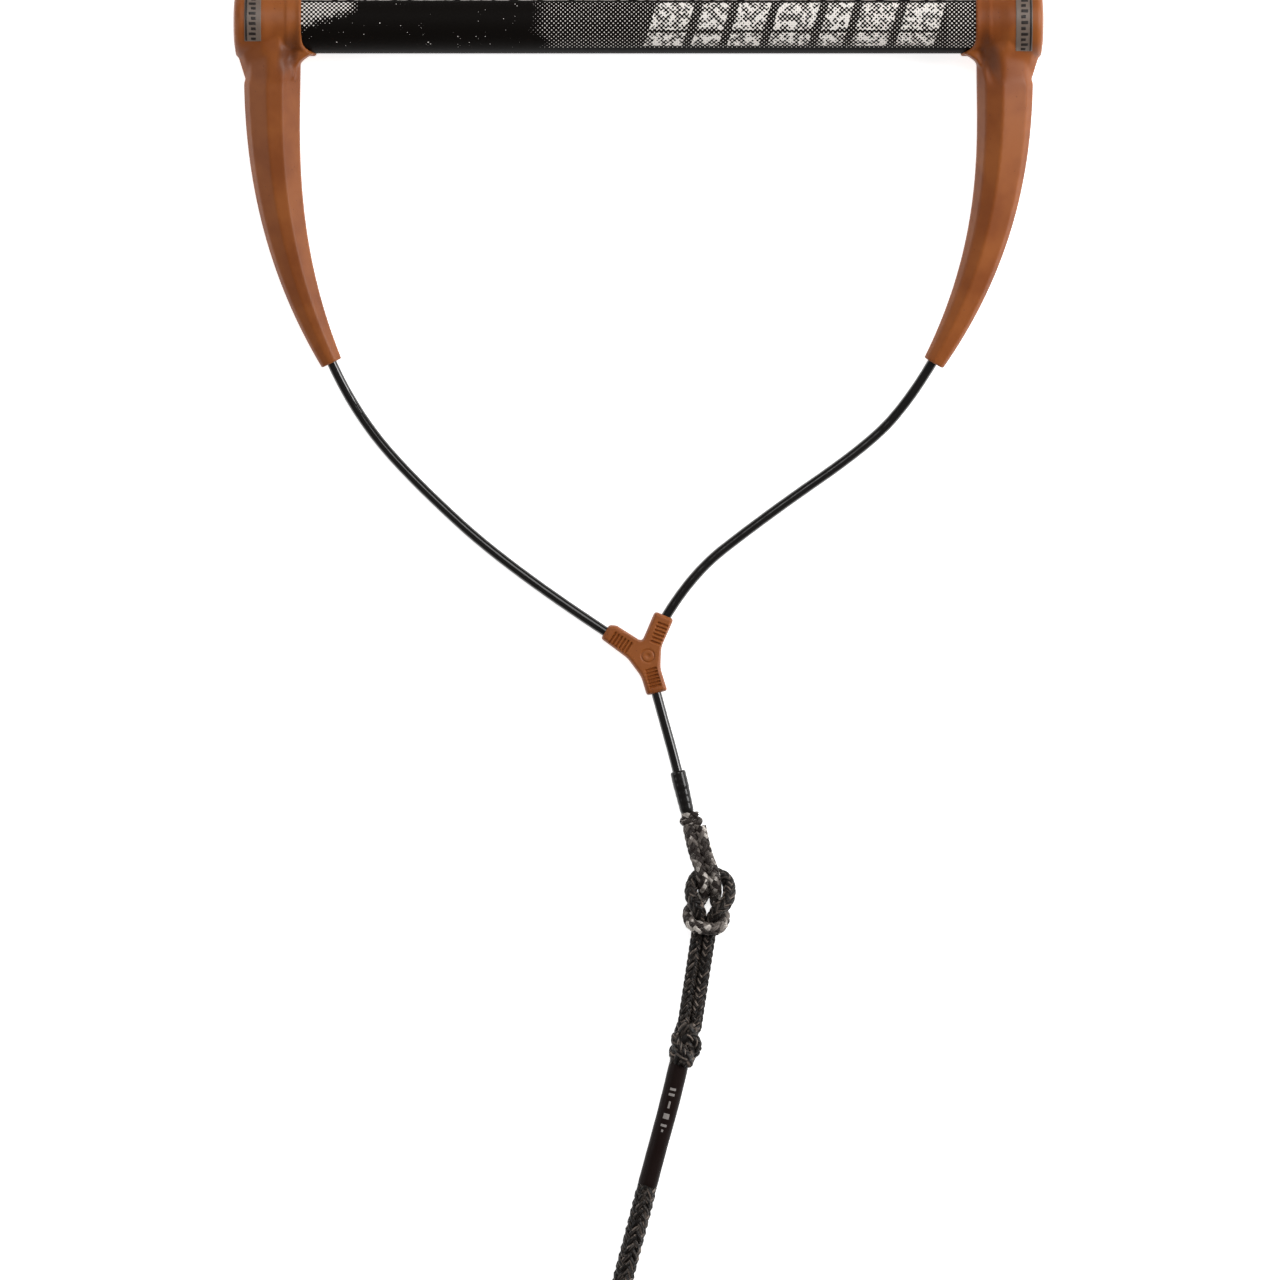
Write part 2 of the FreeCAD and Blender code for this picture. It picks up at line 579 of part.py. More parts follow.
def rope_parts():
    core = "<label_diameter>/2-<label_wall>-<press_gap>"
    rope = "<rope_diameter>/2"
    knot("loop_knot", LOOP_KNOT_CENTRE, -HITCH_HEADING)
    label_sleeve("label_sleeve", SLEEVED_ROPE)
    keep(cord_solid("sleeved_rope", SLEEVED_ROPE, core), "sleeved_rope")
    keep(cord_solid("main_rope", MAIN_ROPE, rope), "main_rope")
    coil = document.addObject("PartDesign::Body", "rope_coil")
    mean, half = "<coil_diameter>/2", "<coil_width>/2"
    section = outline_sketch(coil, "rope_coil_section", "XZ_Plane", [
        (f"{mean}-{half}", "0"), (f"{mean}+{half}", "0"),
        (f"{mean}+{half}", "<coil_height>"), (f"{mean}-{half}", "<coil_height>")])
    revolve(coil, "rope_coil_ring", section, axis="V_Axis")
    coil.Placement = Placement(COIL_CENTRE, Rotation())
    keep(coil, "rope_coil")
    keep(cord_solid("rope_end", ROPE_END, rope), "rope_end")
    label_sleeve("far_label_sleeve", FAR_SLEEVED_ROPE)
    keep(cord_solid("far_sleeved_rope", FAR_SLEEVED_ROPE, core), "far_sleeved_rope")
    knot("far_knot", FAR_KNOT_CENTRE, FAR_KNOT_HEADING)
    keep(cord_solid("far_loop", FAR_LOOP, "<strand_diameter>/2"), "far_loop")


bar_parts()
end_fitting("left", -1, BRIDLE_LEFT)
end_fitting("right", 1, BRIDLE_RIGHT)
yoke()
bridle_lines()
tail_parts()
rope_parts()
document.recompute()

# ---------------------------------------------------------------- checks, and the files

for item in document.Objects:
    if {"Invalid", "Error"} & set(item.State):
        raise RuntimeError(f"{item.Label} was not built: {item.State}")
for name, tube, length, radii, section in cord_reports:
    expected = length * math.pi * section.Radius.Value ** 2
    print(f"{name}: length {length:.1f}, smallest radius {min(radii):.1f}, volume {tube.Shape.Volume:.1f}, "
          f"section times length {expected:.1f}, radii {[round(radius, 1) for radius in radii]}")
    if abs(tube.Shape.Volume - expected) > VOLUME_TOLERANCE * expected:
        raise RuntimeError(f"{name}: the tube's volume is not its section times its length")
for name, item in nodes.items():
    shape = item.Shape
    if shape.isNull() or not shape.isValid() or not shape.Solids:
        raise RuntimeError(f"{name} has no valid solid")
    lowest = shape.optimalBoundingBox().ZMin
    if lowest < FLOOR - FLOOR_TOLERANCE:
        raise RuntimeError(f"{name} reaches below the floor: {lowest:.2f}")
for name, item in nodes.items():
    item.Shape.exportStep(f"parts/{name}.step")
print(f"{len(nodes)} parts, horns lean {LEAN:.2f} degrees")
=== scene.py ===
import math
import random

import bmesh
import bpy
import numpy as np
from mathutils import Matrix, Vector
from mathutils.bvhtree import BVHTree


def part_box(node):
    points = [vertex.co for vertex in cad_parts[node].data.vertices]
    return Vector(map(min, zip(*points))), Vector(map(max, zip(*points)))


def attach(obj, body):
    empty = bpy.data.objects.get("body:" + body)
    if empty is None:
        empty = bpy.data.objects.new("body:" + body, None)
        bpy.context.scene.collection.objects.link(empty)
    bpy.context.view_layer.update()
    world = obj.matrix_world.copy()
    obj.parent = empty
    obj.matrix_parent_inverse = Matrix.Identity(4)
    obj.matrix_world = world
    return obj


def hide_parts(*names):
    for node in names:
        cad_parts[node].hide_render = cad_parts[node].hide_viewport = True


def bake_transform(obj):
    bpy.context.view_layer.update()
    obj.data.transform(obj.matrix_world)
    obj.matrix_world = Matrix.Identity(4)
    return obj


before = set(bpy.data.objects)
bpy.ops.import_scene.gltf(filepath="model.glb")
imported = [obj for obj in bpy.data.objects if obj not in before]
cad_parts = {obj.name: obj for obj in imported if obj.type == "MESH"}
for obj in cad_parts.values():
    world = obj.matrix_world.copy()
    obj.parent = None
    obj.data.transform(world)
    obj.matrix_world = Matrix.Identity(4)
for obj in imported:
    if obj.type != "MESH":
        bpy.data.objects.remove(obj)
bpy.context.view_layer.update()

bl_info = {
    "name": "Tow handle",
    "version": (1, 0, 0),
    "blender": (4, 5, 0),
    "location": "3D View > Sidebar > Tow handle",
    "description": "A wakeboard tow handle with its coated bridle, hitched loops and braided rope",
    "category": "Add Mesh",
}

MM = 0.001

# Places that the frame settles, in metres.
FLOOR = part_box("end_fitting_left")[0].z
HALF_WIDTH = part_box("end_fitting_right")[1].x
COLLAR_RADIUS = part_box("end_fitting_right")[1].z
GRIP_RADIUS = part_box("grip_wrap")[1].z
TUBE_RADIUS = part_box("bar_tube")[1].z
TUBE_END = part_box("bar_tube")[1].x
WASHER_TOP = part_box("end_washer_right")[1].x
SCREW_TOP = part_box("end_screw_right")[1].x
WORDS = {"left": -1, "right": 1}


# ---------------------------------------------------------------- sizes and colours

def length(name, description, millimetres):
    return bpy.props.FloatProperty(
        name=name, description=description, default=millimetres * MM, min=0.0, subtype="DISTANCE",
        unit="LENGTH")


def card(red, green, blue):
    """A colour of 0 to 255 in each part, as the linear values that a shader takes."""
    shares = [value / 255 for value in (red, green, blue)]
    return (*(s / 12.92 if s <= 0.04045 else ((s + 0.055) / 1.055) ** 2.4 for s in shares), 1.0)


def colour(name, description, red, green, blue):
    return bpy.props.FloatVectorProperty(
        name=name, description=description, subtype="COLOR", size=4, min=0.0, max=1.0,
        default=card(red, green, blue))


class TowHandleSizes(bpy.types.PropertyGroup):
    """Sizes of the pieces, as they are bought or moulded."""

    line: length("Coated line", "Diameter of the coated bridle lines", 4.8)
    eye: length("Eye braid", "Diameter of the flecked braid of the eye", 5.0)
    strand: length("Loop braid", "Diameter of the black braid that the loops are made of", 5.4)
    rope: length("Rope", "Diameter of the black rope", 9.8)
    label: length("Label sleeve", "Outer diameter of the shrunk label sleeves", 9.2)
    yoke: length("Y connector", "Thickness of the Y connector's plate", 8.4)
    badge: length("Badge", "Thickness of the plates on the collars", 0.4)
    moulding_grain: length("Moulding voxel", "Size of the finest shape that the moulded parts keep", 0.6)
    halftone: length("Halftone pitch", "Distance between two dots of the grip's print", 2.15)


class TowHandleColours(bpy.types.PropertyGroup):
    """Colours of the finishes."""

    tan: colour("Moulding", "Lighter tone of the moulded parts", 150, 83, 34)
    tan_deep: colour("Moulding, deep", "Darker tone of the moulded parts", 130, 66, 21)
    # Painted shade: a dark tone laid into the hollows behind the collars' lips, where shade falls.
    tan_painted_shade: colour("Moulding, shaded", "Shade in the scoops behind the collars' lips", 66, 28, 6)
    tan_speck: colour("Moulding specks", "Small specks in the moulded parts", 84, 38, 16)
    grip: colour("Grip", "Ground of the printed grip", 15, 12, 10)
    print: colour("Print", "Ink of the grip's print", 248, 242, 236)
    line: colour("Coating", "Coating of the lines and the shrunk sleeve", 14, 12, 11)
    braid: colour("Black braid", "Ground of the black braid", 17, 13, 11)
    # Painted highlight: this lighter tone of the black braid is the glint on one edge of each strand and on
    # scattered fibres.
    braid_glint: colour("Black braid, light", "Lighter fibres of the black braid", 146, 132, 122)
    fleck_dark: colour("Fleck, dark", "Dark strands of the eye", 40, 33, 30)
    fleck_mid: colour("Fleck, middle", "Grey strands of the eye", 118, 110, 104)
    fleck_pale: colour("Fleck, pale", "Pale strands of the eye", 214, 206, 198)
    label: colour("Label", "Shrunk label sleeves", 28, 18, 16)
    label_mark: colour("Label marks", "Marks on the label sleeves", 168, 162, 158)
    badge: colour("Badge", "Ground of the plates on the collars", 112, 98, 88)
    badge_bar: colour("Badge bars", "Raised bars of the plates on the collars", 30, 18, 12)


# ---------------------------------------------------------------- routes of the cords

def metres(points):
    return [Vector(point) * MM for point in points]


def placed(points, centre, heading):
    """Points given across, along and up from a centre, turned clockwise by a heading in degrees."""
    place = Matrix.Translation(Vector(centre) * MM) @ Matrix.Rotation(math.radians(-heading), 4, "Z")
    return [place @ point for point in metres(points)]


def mirrored(side, middle):
    """One side of a loop, the middle of its bend, and the other side."""
    return (*side, middle, *((-across, along, up) for across, along, up in reversed(side)))


FLOOR_MM = FLOOR / MM
BRIDLE = {
    "left": metres((
        (-172.6, -13.4, -1.0), (-172.0, -54.9, -4.1), (-168.9, -84.8, -6.4), (-162.4, -114.7, -8.6),
        (-152.0, -144.6, -10.9), (-135.0, -180.8, -13.9), (-111.0, -211.2, -14.4), (-58.2, -259.7, -14.2),
        (-1.0, -296.3, -12.6))),
    "right": metres((
        (172.6, -13.4, -1.0), (171.9, -54.9, -4.1), (168.1, -84.8, -6.4), (160.2, -114.7, -8.6),
        (147.7, -144.6, -10.9), (129.0, -176.0, -13.6), (109.8, -197.8, -14.4), (59.6, -232.6, -14.3),
        (20.1, -263.6, -14.2), (4.8, -294.6, -12.6))),
}
TAIL = metres(((5.0, -303.2, -12.6), (11.3, -326.6, -12.9), (17.6, -349.0, -13.2), (22.9, -371.4, -13.2)))

HITCH = ((33.2, -413.5, FLOOR_MM + 7.4), 8.7)
EYE_LOOP = placed((
    (-14.7, 33.0, -2.2), (-10.8, 22.0, -0.8), (-5.5, 13.0, 1.8), (-2.7, 5.4, 0.6), (-2.9, -0.8, -5.0),
    (-9.2, -6.0, -4.4), (-7.0, -13.2, 4.6), (0.0, -13.4, 5.0), (7.0, -13.2, 4.6), (9.2, -6.0, -4.4),
    (2.9, -0.8, -5.0), (2.7, 5.4, 0.6), (0.1, 13.6, 1.8), (-5.0, 22.0, -0.8), (-9.2, 33.4, -2.2)), *HITCH)
MAIN_LOOP = placed(mirrored((
    (2.75, -62.0, -2.6), (2.75, -45.0, -4.4), (2.75, -29.0, -4.0), (2.8, -14.6, -3.4), (2.9, -5.4, 3.6),
    (9.6, 0.4, 2.6), (8.2, 11.0, -3.6)), (0.0, 13.2, -4.6)), *HITCH)
FAR_LOOP = placed(mirrored((
    (2.6, 4.6, 2.6), (3.6, 17.0, 0.4), (5.4, 30.0, 0.0), (7.0, 43.0, 0.0), (5.4, 52.4, 0.0)),
    (0.0, 56.0, 0.0)), (124.0, -733.0, FLOOR_MM + 2.8), 86.0)

SLEEVED = metres(((19.4, -489.6, -11.9), (15.0, -508.6, -11.9), (9.4, -528.6, -11.9), (4.1, -548.6, -11.9)))
MAIN_ROPE = metres(((-0.8, -568.0, -11.8), (-7.4, -592.6, -9.8), (-13.4, -616.1, -3.6)))
ROPE_END = metres((
    (-40.4, -666.5, -11.9), (-37.0, -692.5, -11.9), (-23.0, -715.5, -11.9), (1.0, -731.5, -11.9),
    (28.0, -737.5, -11.9)))
FAR_SLEEVED = metres((
    (58.0, -736.5, -11.9), (77.6, -736.1, -11.9), (97.4, -734.9, -11.9), (117.0, -733.5, -11.9)))

COIL_CENTRE = Vector((31.5, -665.5, 0.0))
COIL_START, COIL_STOP, COIL_STEP = 150, 1245, 15
# How the coil's turns change place: from and to which angle, and by how much, in millimetres.
COIL_SHIFTS_OUT = ((195, 240, -12.0), (525, 570, -5.0), (855, 885, 10.0), (1185, 1215, 10.5))
COIL_SHIFTS_UP = ((465, 500, 1.0), (535, 585, -9.8))
COIL_FIRST_RADIUS, COIL_FIRST_HEIGHT = 67.0, -3.1


def eased(value, low, high):
    """0 up to low, 1 from high on, and a smooth rise between them."""
    share = min(max((value - low) / (high - low), 0.0), 1.0)
    return share * share * (3 - 2 * share)


def coil_turns():
    """Three turns: the first on top of the others, then the inner and the outer one on the floor."""
    points = []
    for degrees in range(COIL_START, COIL_STOP + 1, COIL_STEP):
        radius = COIL_FIRST_RADIUS + sum(by * eased(degrees, a, b) for a, b, by in COIL_SHIFTS_OUT)
        height = COIL_FIRST_HEIGHT + sum(by * eased(degrees, a, b) for a, b, by in COIL_SHIFTS_UP)
        angle = math.radians(degrees)
        points.append(COIL_CENTRE + Vector((radius * math.cos(angle), radius * math.sin(angle), height)))
    return metres(points)


ROPE = SLEEVED + MAIN_ROPE + coil_turns() + ROPE_END + FAR_SLEEVED


# ---------------------------------------------------------------- lines and meshes

def read_line(points, step):
    """Evenly spaced points along the smooth spline that has the route's points as control points."""
    curve = bpy.data.curves.new("route", "CURVE")
    curve.dimensions = "3D"
    curve.resolution_u = 24
    spline = curve.splines.new("NURBS")
    spline.points.add(len(points) - 1)
    for control, point in zip(spline.points, points):
        control.co = (*point, 1.0)
    spline.order_u = 3
    spline.use_endpoint_u = True
    holder = bpy.data.objects.new("route", curve)
    mesh = bpy.data.meshes.new_from_object(holder)
    line = np.array([vertex.co for vertex in mesh.vertices])
    bpy.data.objects.remove(holder)
    bpy.data.curves.remove(curve)
    bpy.data.meshes.remove(mesh)
    gone = np.concatenate([[0.0], np.cumsum(np.linalg.norm(np.diff(line, axis=0), axis=1))])
    wanted = np.linspace(0.0, gone[-1], max(3, round(gone[-1] / step)))
    return np.stack([np.interp(wanted, gone, line[:, axis]) for axis in range(3)], axis=1)


def unit(rows):
    return rows / np.maximum(np.linalg.norm(rows, axis=-1, keepdims=True), 1e-12)


def line_length(line):
    return float(np.linalg.norm(np.diff(line, axis=0), axis=1).sum())


def frames_along(line):
    """Tangent, normal and side at each point, turning as little as they can from one to the next."""
    tangent = unit(np.gradient(line, axis=0))
    normal = np.zeros_like(line)
    first = np.array([0.0, 0.0, 1.0])
    normal[0] = unit(first - tangent[0] * (first @ tangent[0]))
    for k in range(1, len(line)):
        carried = normal[k - 1] - tangent[k] * (normal[k - 1] @ tangent[k])
        normal[k] = unit(carried)
    return tangent, normal, np.cross(tangent, normal)


def new_piece(name, vertices, faces, finish, layers=None, sharp=None):
    """A mesh object with smooth shading, its material and its named per-point values."""
    mesh = bpy.data.meshes.new(name)
    mesh.from_pydata([tuple(point) for point in vertices], [], [tuple(face) for face in faces])
    mesh.validate()
    for layer, values in (layers or {}).items():
        mesh.attributes.new(layer, "FLOAT", "POINT").data.foreach_set("value", np.asarray(values, np.float32))
    smooth(mesh, sharp)
    if finish is not None:
        mesh.materials.append(finish)
    piece = bpy.data.objects.new(name, mesh)
    bpy.context.scene.collection.objects.link(piece)
    return piece


def smooth(mesh, sharp=None):
    mesh.polygons.foreach_set("use_smooth", [True] * len(mesh.polygons))
    if sharp is not None:
        mesh.set_sharp_from_angle(angle=math.radians(sharp))
    mesh.update()


def ring_faces(rings, sides, first=0, closed=False):
    """Quads between rings of points, with a cap on each end unless the rings close on themselves."""
    faces = []
    for ring in range(rings if closed else rings - 1):
        here = first + ring * sides
        there = first + ((ring + 1) % rings) * sides
        for side in range(sides):
            after = (side + 1) % sides
            faces.append((here + side, here + after, there + after, there + side))
    if not closed:
        faces.append(tuple(first + side for side in reversed(range(sides))))
        faces.append(tuple(first + (rings - 1) * sides + side for side in range(sides)))
    return faces


def skin(line, radius, sides):
    """Points of a tube round a line. radius is a number, or rows by sides of them."""
    _, normal, side = frames_along(line)
    angles = np.arange(sides) * 2 * math.pi / sides
    radii = np.broadcast_to(np.asarray(radius, float).reshape(-1, 1) if np.ndim(radius) == 1 else radius,
                            (len(line), sides))
    out = normal[:, None] * np.cos(angles)[None, :, None] + side[:, None] * np.sin(angles)[None, :, None]
    return (line[:, None] + out * radii[..., None]).reshape(-1, 3)


def turned_ring(along, radius, sides):
    """A ring of points about X. along and radius are numbers, or one number for each point."""
    angles = np.arange(sides) * 2 * math.pi / sides
    return np.stack([np.broadcast_to(along, sides), radius * np.cos(angles), radius * np.sin(angles)], axis=1)


def lathe(profile, side, sides=96):
    """Points and faces of a closed (distance along X, radius) outline turned about X."""
    rings = [turned_ring(side * along, radius, sides) for along, radius in profile]
    faces = ring_faces(len(rings), sides, closed=True)
    return np.concatenate(rings), [face[::-side] for face in faces]


def relax(points, edges, share, rounds):
    """Moves each point towards the middle of its neighbours, by a share that may differ between points."""
    degree = np.bincount(edges.ravel(), minlength=len(points))[:, None]
    weight = np.broadcast_to(share, (len(points),))[:, None]
    for _ in range(rounds):
        total = np.stack([
            np.bincount(edges[:, 0], points[edges[:, 1], axis], len(points))
            + np.bincount(edges[:, 1], points[edges[:, 0], axis], len(points)) for axis in range(3)], axis=1)
        points = points + weight * (total / np.maximum(degree, 1) - points)
    return points


def mesh_points(mesh):
    points = np.zeros(len(mesh.vertices) * 3)
    mesh.vertices.foreach_get("co", points)
    return points.reshape(-1, 3)


def mesh_edges(mesh):
    edges = np.zeros(len(mesh.edges) * 2, int)
    mesh.edges.foreach_get("vertices", edges)
    return edges.reshape(-1, 2)


def settled(piece):
    """Gives a piece the mesh that its modifiers make."""
    made = bpy.data.meshes.new_from_object(piece.evaluated_get(bpy.context.evaluated_depsgraph_get()))
    old = piece.data
    piece.modifiers.clear()
    piece.data = made
    bpy.data.meshes.remove(old)
    return piece


def merged(piece, voxel):
    """Turns overlapping closed shapes into one skin of even quads."""
    remesh = piece.modifiers.new("skin", "REMESH")
    remesh.mode = "VOXEL"
    remesh.voxel_size = voxel
    return settled(piece)


def cut(piece, cutters):
    """Takes closed shapes out of a piece, and removes them."""
    for cutter in cutters:
        gap = piece.modifiers.new("cut", "BOOLEAN")
        gap.operation = "DIFFERENCE"
        gap.solver = "EXACT"
        gap.object = cutter
    bpy.context.view_layer.update()
    before = len(piece.data.polygons)
    settled(piece)
    for cutter in cutters:
        bpy.data.objects.remove(cutter)
    if len(piece.data.polygons) < before / 2:
        raise RuntimeError(f"{piece.name}: the cuts took most of it away")
    return piece


# ---------------------------------------------------------------- braids

STRAND_SIDES = 8
CORE_SIDES = 12


def braid(name, line, diameter, finish, carriers=6, lay=36.0, seed=1, swell=None, full=0.57):
    """Strands laid both ways round a line, each over two and under two of the others, on a dark core."""
    thick = diameter * 0.2
    wave = diameter * 0.06
    middle = diameter * full - thick / 2 - wave
    _, normal, side = frames_along(line)
    gone = np.concatenate([[0.0], np.cumsum(np.linalg.norm(np.diff(line, axis=0), axis=1))])
    turn = math.tan(math.radians(lay)) / middle
    across = 2 * math.pi * middle * math.cos(math.radians(lay)) / carriers * 1.12
    round_strand = np.arange(STRAND_SIDES) * 2 * math.pi / STRAND_SIDES
    grow = np.ones(len(line)) if swell is None else swell(gone / gone[-1])
    dice = random.Random(seed)
    points, faces, strand, along, edge = [], [], [], [], []
    for direction in (1, -1):
        for carrier in range(carriers):
            angle = direction * gone * turn + 2 * math.pi * carrier / carriers
            lift = direction * wave * np.cos(angle * carriers / 2 - math.pi / 4)
            out = normal * np.cos(angle)[:, None] + side * np.sin(angle)[:, None]
            path = line + out * ((middle + lift) * grow)[:, None]
            heading = unit(np.gradient(path, axis=0))
            up = unit(out - heading * (out * heading).sum(axis=1, keepdims=True))
            flank = np.cross(heading, up)
            ring = (path[:, None] + flank[:, None] * (across / 2 * np.cos(round_strand))[None, :, None]
                    + up[:, None] * (thick / 2 * np.sin(round_strand))[None, :, None])
            faces += ring_faces(len(line), STRAND_SIDES, first=sum(len(rows) for rows in points))
            points.append(ring.reshape(-1, 3))
            strand.append(np.full(len(line) * STRAND_SIDES, dice.random()))
            along.append(np.repeat(gone / MM, STRAND_SIDES))
            edge.append(np.tile(np.cos(round_strand), len(line)))
    core = skin(line, middle * grow, CORE_SIDES)
    faces += ring_faces(len(line), CORE_SIDES, first=sum(len(rows) for rows in points))
    points.append(core)
    strand.append(np.full(len(core), -1.0))
    along.append(np.repeat(gone / MM, CORE_SIDES))
    edge.append(np.zeros(len(core)))
    return new_piece(name, np.concatenate(points), faces, finish, {
        "strand": np.concatenate(strand), "along": np.concatenate(along), "edge": np.concatenate(edge)})


# ---------------------------------------------------------------- shader nodes

class Graph:
    """A node tree that is built by feeding numbers and other nodes' outputs into new nodes."""

    def __init__(self, tree):
        self.tree = tree

    def feed(self, socket, value):
        if isinstance(value, bpy.types.NodeSocket):
            self.tree.links.new(value, socket)
        else:
            socket.default_value = value

    def node(self, kind, inputs=None, **settings):
        made = self.tree.nodes.new(kind)
        for name, value in settings.items():
            setattr(made, name, value)
        for name, value in (inputs or {}).items():
            self.feed(made.inputs[name], value)
        return made

    def math(self, operation, *values):
        made = self.node("ShaderNodeMath", operation=operation)
        for socket, value in zip(made.inputs, values):
            self.feed(socket, value)
        return made.outputs[0]

    def times(self, first, second):
        return self.math("MULTIPLY", first, second)

    def plus(self, first, second):
        return self.math("ADD", first, second)

    def less(self, first, second):
        return self.math("SUBTRACT", first, second)

    def most(self, first, second):
        return self.math("MAXIMUM", first, second)

    def vector(self, along=0.0, across=0.0, up=0.0):
        return self.node("ShaderNodeCombineXYZ", {"X": along, "Y": across, "Z": up}).outputs[0]

    def rise(self, value, low, high):
        """0 below low and 1 above high, or the other way round where low is the larger."""
        return self.node("ShaderNodeMapRange", {"Value": value, "From Min": low, "From Max": high},
                         interpolation_type="SMOOTHSTEP").outputs["Result"]

    def band(self, value, low, high, soft):
        """1 between low and high."""
        return self.math("MULTIPLY", self.rise(value, low - soft, low + soft),
                         self.rise(value, high + soft, high - soft))

    def noise(self, vector, scale, detail=2.0):
        return self.node("ShaderNodeTexNoise", {"Vector": vector, "Scale": scale, "Detail": detail}).outputs[0]

    def chance(self, vector):
        """An even random number for each vector."""
        return self.node("ShaderNodeTexWhiteNoise", {"Vector": vector}, noise_dimensions="3D").outputs["Value"]

    def mix(self, share, first, second):
        made = self.node("ShaderNodeMix", data_type="RGBA")
        for number, value in ((0, share), (6, first), (7, second)):
            self.feed(made.inputs[number], value)
        return made.outputs[2]

    def spread(self, value, low, high):
        """0 to 1 as low to high."""
        return self.math("ADD", self.math("MULTIPLY", value, high - low), low)

    def bump(self, height, distance, strength=1.0):
        inputs = {"Height": height, "Distance": distance, "Strength": strength}
        return self.node("ShaderNodeBump", inputs).outputs[0]

    def millimetres(self):
        """The place in the object's own frame, in millimetres."""
        place = self.node("ShaderNodeTexCoord").outputs["Object"]
        scaled = self.node("ShaderNodeVectorMath", {0: place, "Scale": 1 / MM}, operation="SCALE")
        return scaled.outputs[0]

    def layer(self, name):
        return self.node("ShaderNodeAttribute", attribute_name=name).outputs["Fac"]

    def use(self, tree, **inputs):
        """Places a node group and gives its outputs."""
        made = self.node("ShaderNodeGroup", node_tree=tree)
        for name, value in inputs.items():
            self.feed(made.inputs[name], value)
        return made.outputs


def new_group(name, inputs, outputs):
    """An empty node group with named numbers going in and out."""
    tree = bpy.data.node_groups.new(name, "ShaderNodeTree")
    for words, way in ((inputs, "INPUT"), (outputs, "OUTPUT")):
        for word in words:
            kind = "NodeSocketVector" if word == "Place" else "NodeSocketFloat"
            tree.interface.new_socket(name=word, in_out=way, socket_type=kind)
    graph = Graph(tree)
    return tree, graph, graph.node("NodeGroupInput").outputs, graph.node("NodeGroupOutput").inputs


def wear_group():
    """Fine grain and broad uneven tone of a moulded or coated surface."""
    tree, graph, given, out = new_group("Wear", ("Place", "Grain", "Patch"), ("Height", "Tone"))
    graph.feed(out["Height"], graph.noise(given["Place"], given["Grain"], 4.0))
    broad = graph.noise(given["Place"], given["Patch"], 3.0)
    graph.feed(out["Tone"], graph.rise(broad, 0.32, 0.68))
    return tree


def fibre_group():
    """The fibres of a braid's strands: their ridges, their tone, and lengths that differ in colour."""
    tree, graph, given, out = new_group("Fibres", ("Fibres", "Fleck length"), ("Height", "Tone", "Fleck"))
    strand, along, edge = graph.layer("strand"), graph.layer("along"), graph.layer("edge")
    lean = graph.plus(graph.times(edge, given["Fibres"]), graph.times(along, 0.55))
    ridge = graph.math("SINE", graph.times(lean, math.pi))
    graph.feed(out["Height"], graph.spread(ridge, 0.5, 1.0))
    hair = graph.vector(graph.math("FLOOR", lean), strand, graph.math("FLOOR", graph.times(along, 0.4)))
    graph.feed(out["Tone"], graph.chance(hair))
    cell = graph.math("FLOOR", graph.math("DIVIDE", along, given["Fleck length"]))
    graph.feed(out["Fleck"], graph.chance(graph.vector(cell, strand, 3.0)))
    return tree


GROUPS = {}


def effect(name, make):
    if name not in GROUPS:
        GROUPS[name] = make()
    return GROUPS[name]


def new_material(name, roughness, coat=0.0, coat_roughness=0.1, metal=0.0, specular=0.5):
    """A material with its constant values set on its own shader."""
    made = bpy.data.materials.new(name)
    made.use_nodes = True
    shader = made.node_tree.nodes["Principled BSDF"].inputs
    shader["Roughness"].default_value = roughness
    shader["Metallic"].default_value = metal
    shader["Specular IOR Level"].default_value = specular
    shader["Coat Weight"].default_value = coat
    shader["Coat Roughness"].default_value = coat_roughness
    return made, Graph(made.node_tree), shader


def once(build):
    """Makes a material the first time that it is asked for."""
    made = {}

    def give():
        if "finish" not in made:
            made["finish"] = build(bpy.context.scene.tow_handle_colours)
        return made["finish"]
    return give


# The painted shade behind a collar's lip, in millimetres: its middle out from and behind the bar's, how much it
# leans outwards, and its half widths.
PAINTED_SHADE_OUT, PAINTED_SHADE_BACK, PAINTED_SHADE_LEAN, PAINTED_SHADE_WIDE, PAINTED_SHADE_LONG = 164.6, 14.0, 0.22, 4.6, 10.5


@once
def moulding(tones):
    made, graph, shader = new_material("tan_moulding", 0.46, specular=0.3)
    place = graph.millimetres()
    wear = graph.use(effect("Wear", wear_group), Place=place, Grain=2.6, Patch=0.045)
    ground = graph.mix(wear["Tone"], tones.tan_deep, tones.tan)
    cells = graph.node("ShaderNodeTexVoronoi", {"Vector": place, "Scale": 0.85})
    rare = graph.rise(graph.chance(cells.outputs["Color"]), 0.86, 0.9)
    cluster = graph.rise(graph.noise(place, 0.11), 0.5, 0.62)
    dot = graph.rise(cells.outputs["Distance"], 0.24, 0.12)
    speck = graph.times(graph.times(rare, cluster), dot)
    apart = graph.node("ShaderNodeSeparateXYZ", {0: place}).outputs
    # Painted shade: the base colour darkens in the hollow behind each collar's lip, where shade falls.
    back = graph.less(-PAINTED_SHADE_BACK, apart["Y"])
    out = graph.less(graph.less(graph.math("ABSOLUTE", apart["X"]), PAINTED_SHADE_OUT),
                     graph.times(back, PAINTED_SHADE_LEAN))
    away = graph.plus(graph.math("POWER", graph.math("ABSOLUTE", graph.math("DIVIDE", out, PAINTED_SHADE_WIDE)), 2.0),
                      graph.math("POWER", graph.math("ABSOLUTE", graph.math("DIVIDE", back, PAINTED_SHADE_LONG)), 2.0))
    ground = graph.mix(graph.times(graph.rise(away, 1.5, 0.0), 0.55), ground, tones.tan_painted_shade)
    graph.feed(shader["Base Color"], graph.mix(speck, ground, tones.tan_speck))
    graph.feed(shader["Roughness"], graph.spread(wear["Height"], 0.38, 0.54))
    height = graph.less(graph.times(wear["Height"], 0.35), speck)
    graph.feed(shader["Normal"], graph.bump(height, 0.00012, 0.6))
    return made


